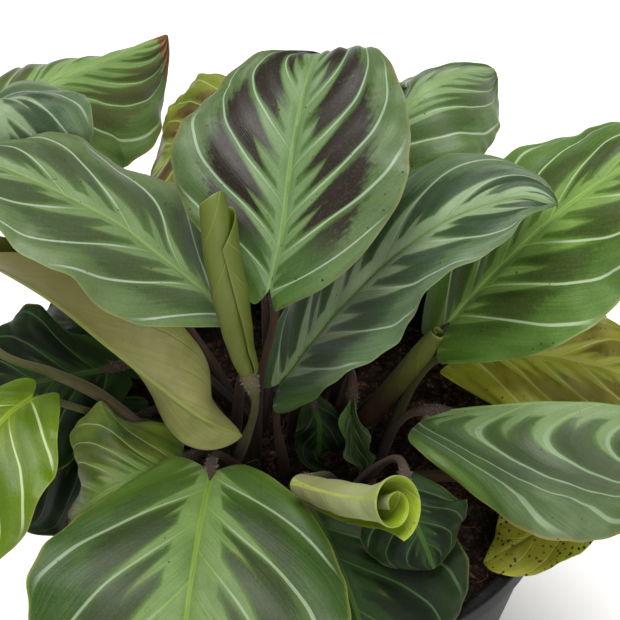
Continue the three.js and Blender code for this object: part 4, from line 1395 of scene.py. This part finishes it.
# %% Small shapes for the soil
def crumb(name, seed, radius, flat=(1, 1, 1), levels=1):
    ball = bmesh.new()
    bmesh.ops.create_icosphere(ball, subdivisions=levels, radius=radius * MM)
    chance = np.random.default_rng(seed)
    for vertex in ball.verts:
        vertex.co *= 0.7 + 0.5 * chance.random()
        vertex.co = Vector((vertex.co.x * flat[0], vertex.co.y * flat[1], vertex.co.z * flat[2]))
    mesh = bpy.data.meshes.new(name)
    ball.to_mesh(mesh)
    ball.free()
    return bpy.data.objects.new(name, mesh)


def fibre(name, seed, length, thick, bends=6, rings=12, sides=3):
    chance = np.random.default_rng(seed)
    bend = chance.uniform(-1.6, 1.6)
    step_length = length / bends
    heading = 0.0
    knots = [(0, 0, 0)]
    for step in range(bends):
        heading += bend / 3 + chance.uniform(-0.5, 0.5)
        x, y, z = knots[-1]
        rise = step_length * chance.uniform(-0.2, 0.35)
        knots.append((x + step_length * math.cos(heading), y + step_length * math.sin(heading), z + rise))
    points = []
    for step, middle in enumerate(even_points(knots, np.linspace(0, 1, rings))):
        ring = circle(thick * (1 - 0.6 * step / (rings - 1)), sides)
        points += [middle + np.array([0, y, z]) for y, z in ring]
    start_cap = tuple(range(sides))[::-1]
    end_cap = tuple(range((rings - 1) * sides, rings * sides))
    faces = tube_faces(rings, sides) + [start_cap, end_cap]
    mesh = bpy.data.meshes.new(name)
    mesh.from_pydata([tuple(p) for p in np.array(points) * MM], [], faces)
    return bpy.data.objects.new(name, mesh)


# %% The part of the mound that crumbs lie on
OPEN_RADIUS = 63.6
LOWEST_TOP = 98.5


def mound_top():
    mesh = mound.data.copy()
    top = bmesh.new()
    top.from_mesh(mesh)
    away = []
    for face in top.faces:
        middle = face.calc_center_median()
        if middle.z < LOWEST_TOP * MM or math.hypot(*middle.xy) > OPEN_RADIUS * MM:
            away.append(face)
    bmesh.ops.delete(top, geom=away, context="FACES")
    top.to_mesh(mesh)
    top.free()
    return bpy.data.objects.new("mound_top", mesh)


open_ground = mound_top()
soil_shapes = {
    "coarse_crumbs": (
        [crumb(f"coarse_{i}", 20 + i, 1.1, (1, 1, 0.8), 2) for i in range(6)], "soil_crumbs",
        dict(Density=1.1e5, Smallest=0.5, Largest=1.35, Tilt=1.0, Seed=5)),
    "fine_crumbs": (
        [crumb(f"small_{i}", 40 + i, 0.5, (1, 1, 0.9), 1) for i in range(6)], "soil_crumbs",
        dict(Density=5.2e5, Smallest=0.5, Largest=1.4, Tilt=1.0, Seed=6)),
    "bark": (
        [crumb(f"chip_{i}", 60 + i, 2.0, (1.3, 0.7, 0.28), 2) for i in range(5)], "bark_chips",
        dict(Density=1.0e4, Smallest=0.45, Largest=1.2, Tilt=0.4, Seed=8)),
    "root_fibres": (
        [fibre(f"fibre_{i}", 80 + i, 11, 0.13) for i in range(6)], "dry_fibres",
        dict(Density=1.5e4, Smallest=0.4, Largest=1.1, Tilt=0.25, Seed=9)),
}
for name, (shapes, material, amounts) in soil_shapes.items():
    loose = scatter("soil_" + name, open_ground, shapes, soil_materials[material], **amounts)
    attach(loose, "root")
bpy.data.objects.remove(open_ground)


# %% [markdown]
# ## Floor, light and camera
# The plant stands on a plain pale floor that runs out of sight. One broad light from above gives the
# even floor and the soft sheen of the leaves, a second one in front fills the shade, and the pale
# surroundings do the rest. The broad one is a sun lamp 40 degrees wide, because an area lamp would fade
# with distance. Past the floor the surroundings look white, although they light the plant only softly.
# The camera looks down at 47 degrees, as the picture does, and is aimed from its distance to the
# leaves.

# %% Pale floor
FAR = 30000
floor_group, paint, given, result = paint_group("pale_floor", {"Grain": 0.5}, ["Light", "Shade"])
where = paint.place()
soft_cloud = paint.noise(where, 2.0, 3.0, 0.5)
paint.feed(result["Colour"], paint.blend(soft_cloud * given["Grain"], given["Light"], given["Shade"]))
paint.feed(result["Roughness"], 0.7 + soft_cloud * 0.1)
paint.feed(result["Height"], paint.noise(where, 300.0, 2.0, 0.5))
floor_colours = {"Grain": 0.3, "Light": tint(246, 246, 246), "Shade": tint(240, 240, 241)}
floor_white = finish_material("pale_floor", floor_group, floor_colours, 0.05, {})
corners = [(-FAR, -FAR, 0), (FAR, -FAR, 0), (FAR, FAR, 0), (-FAR, FAR, 0)]
floor = mesh_object("floor", corners, [(0, 1, 2, 3)], [floor_white])

# %% A wide sun overhead and a soft light in front
WARM_WHITE = (1.0, 0.99, 0.97)
PLANT_MIDDLE = Vector((0, 0, 0.16))


def lamp(name, kind, power):
    light = bpy.data.lights.new(name, kind)
    light.energy = power
    light.color = WARM_WHITE
    return light, place_object(name, light)


overhead, overhead_holder = lamp("overhead_light", "SUN", 3.8)
overhead.angle = math.radians(40)
overhead_holder.rotation_euler = (math.radians(-11), math.radians(-9), 0)
front, front_holder = lamp("front_fill", "AREA", 10)
front.size = 0.9
front_holder.location = (0.30, -1.0, 0.8)
aim = PLANT_MIDDLE - front_holder.location
front_holder.rotation_euler = aim.to_track_quat("-Z", "Y").to_euler()

# %% Surroundings that look white and light softly
world = bpy.context.scene.world or bpy.data.worlds.new("surroundings")
bpy.context.scene.world = world
world.use_nodes = True
world.node_tree.nodes.clear()
surround = Paint(world.node_tree)
glow = surround.node("ShaderNodeBackground", {"Color": (1.0, 0.99, 0.96, 1.0), "Strength": 0.26})
backdrop = surround.node("ShaderNodeBackground", {"Color": (1.0, 1.0, 1.0, 1.0), "Strength": 1.0})
seen = surround.node("ShaderNodeLightPath").outputs["Is Camera Ray"]
either = surround.node("ShaderNodeMixShader", {0: seen, 1: glow.outputs[0], 2: backdrop.outputs[0]})
surround.node("ShaderNodeOutputWorld", {"Surface": either.outputs[0]})
bpy.context.scene.view_settings.view_transform = "Standard"

# %% Camera at the picture's own viewing angle
PICTURE_WIDTH = 620
FOCAL_LENGTH = 1730
SENSOR_WIDTH = 36
CAMERA_ELEVATION = math.radians(47)
CAMERA_DISTANCE = 0.45
aimed_at = Vector((-0.0007, 0, 0.17))
toward = Vector((0, math.cos(CAMERA_ELEVATION), -math.sin(CAMERA_ELEVATION)))
lens = bpy.data.cameras.new("camera")
lens.sensor_fit = "HORIZONTAL"
lens.sensor_width = SENSOR_WIDTH
lens.lens = SENSOR_WIDTH * FOCAL_LENGTH / PICTURE_WIDTH
lens.clip_start = 0.01
camera = place_object("camera", lens)
camera.location = aimed_at - toward * CAMERA_DISTANCE
camera.rotation_euler = toward.to_track_quat("-Z", "Y").to_euler()
bpy.context.scene.camera = camera
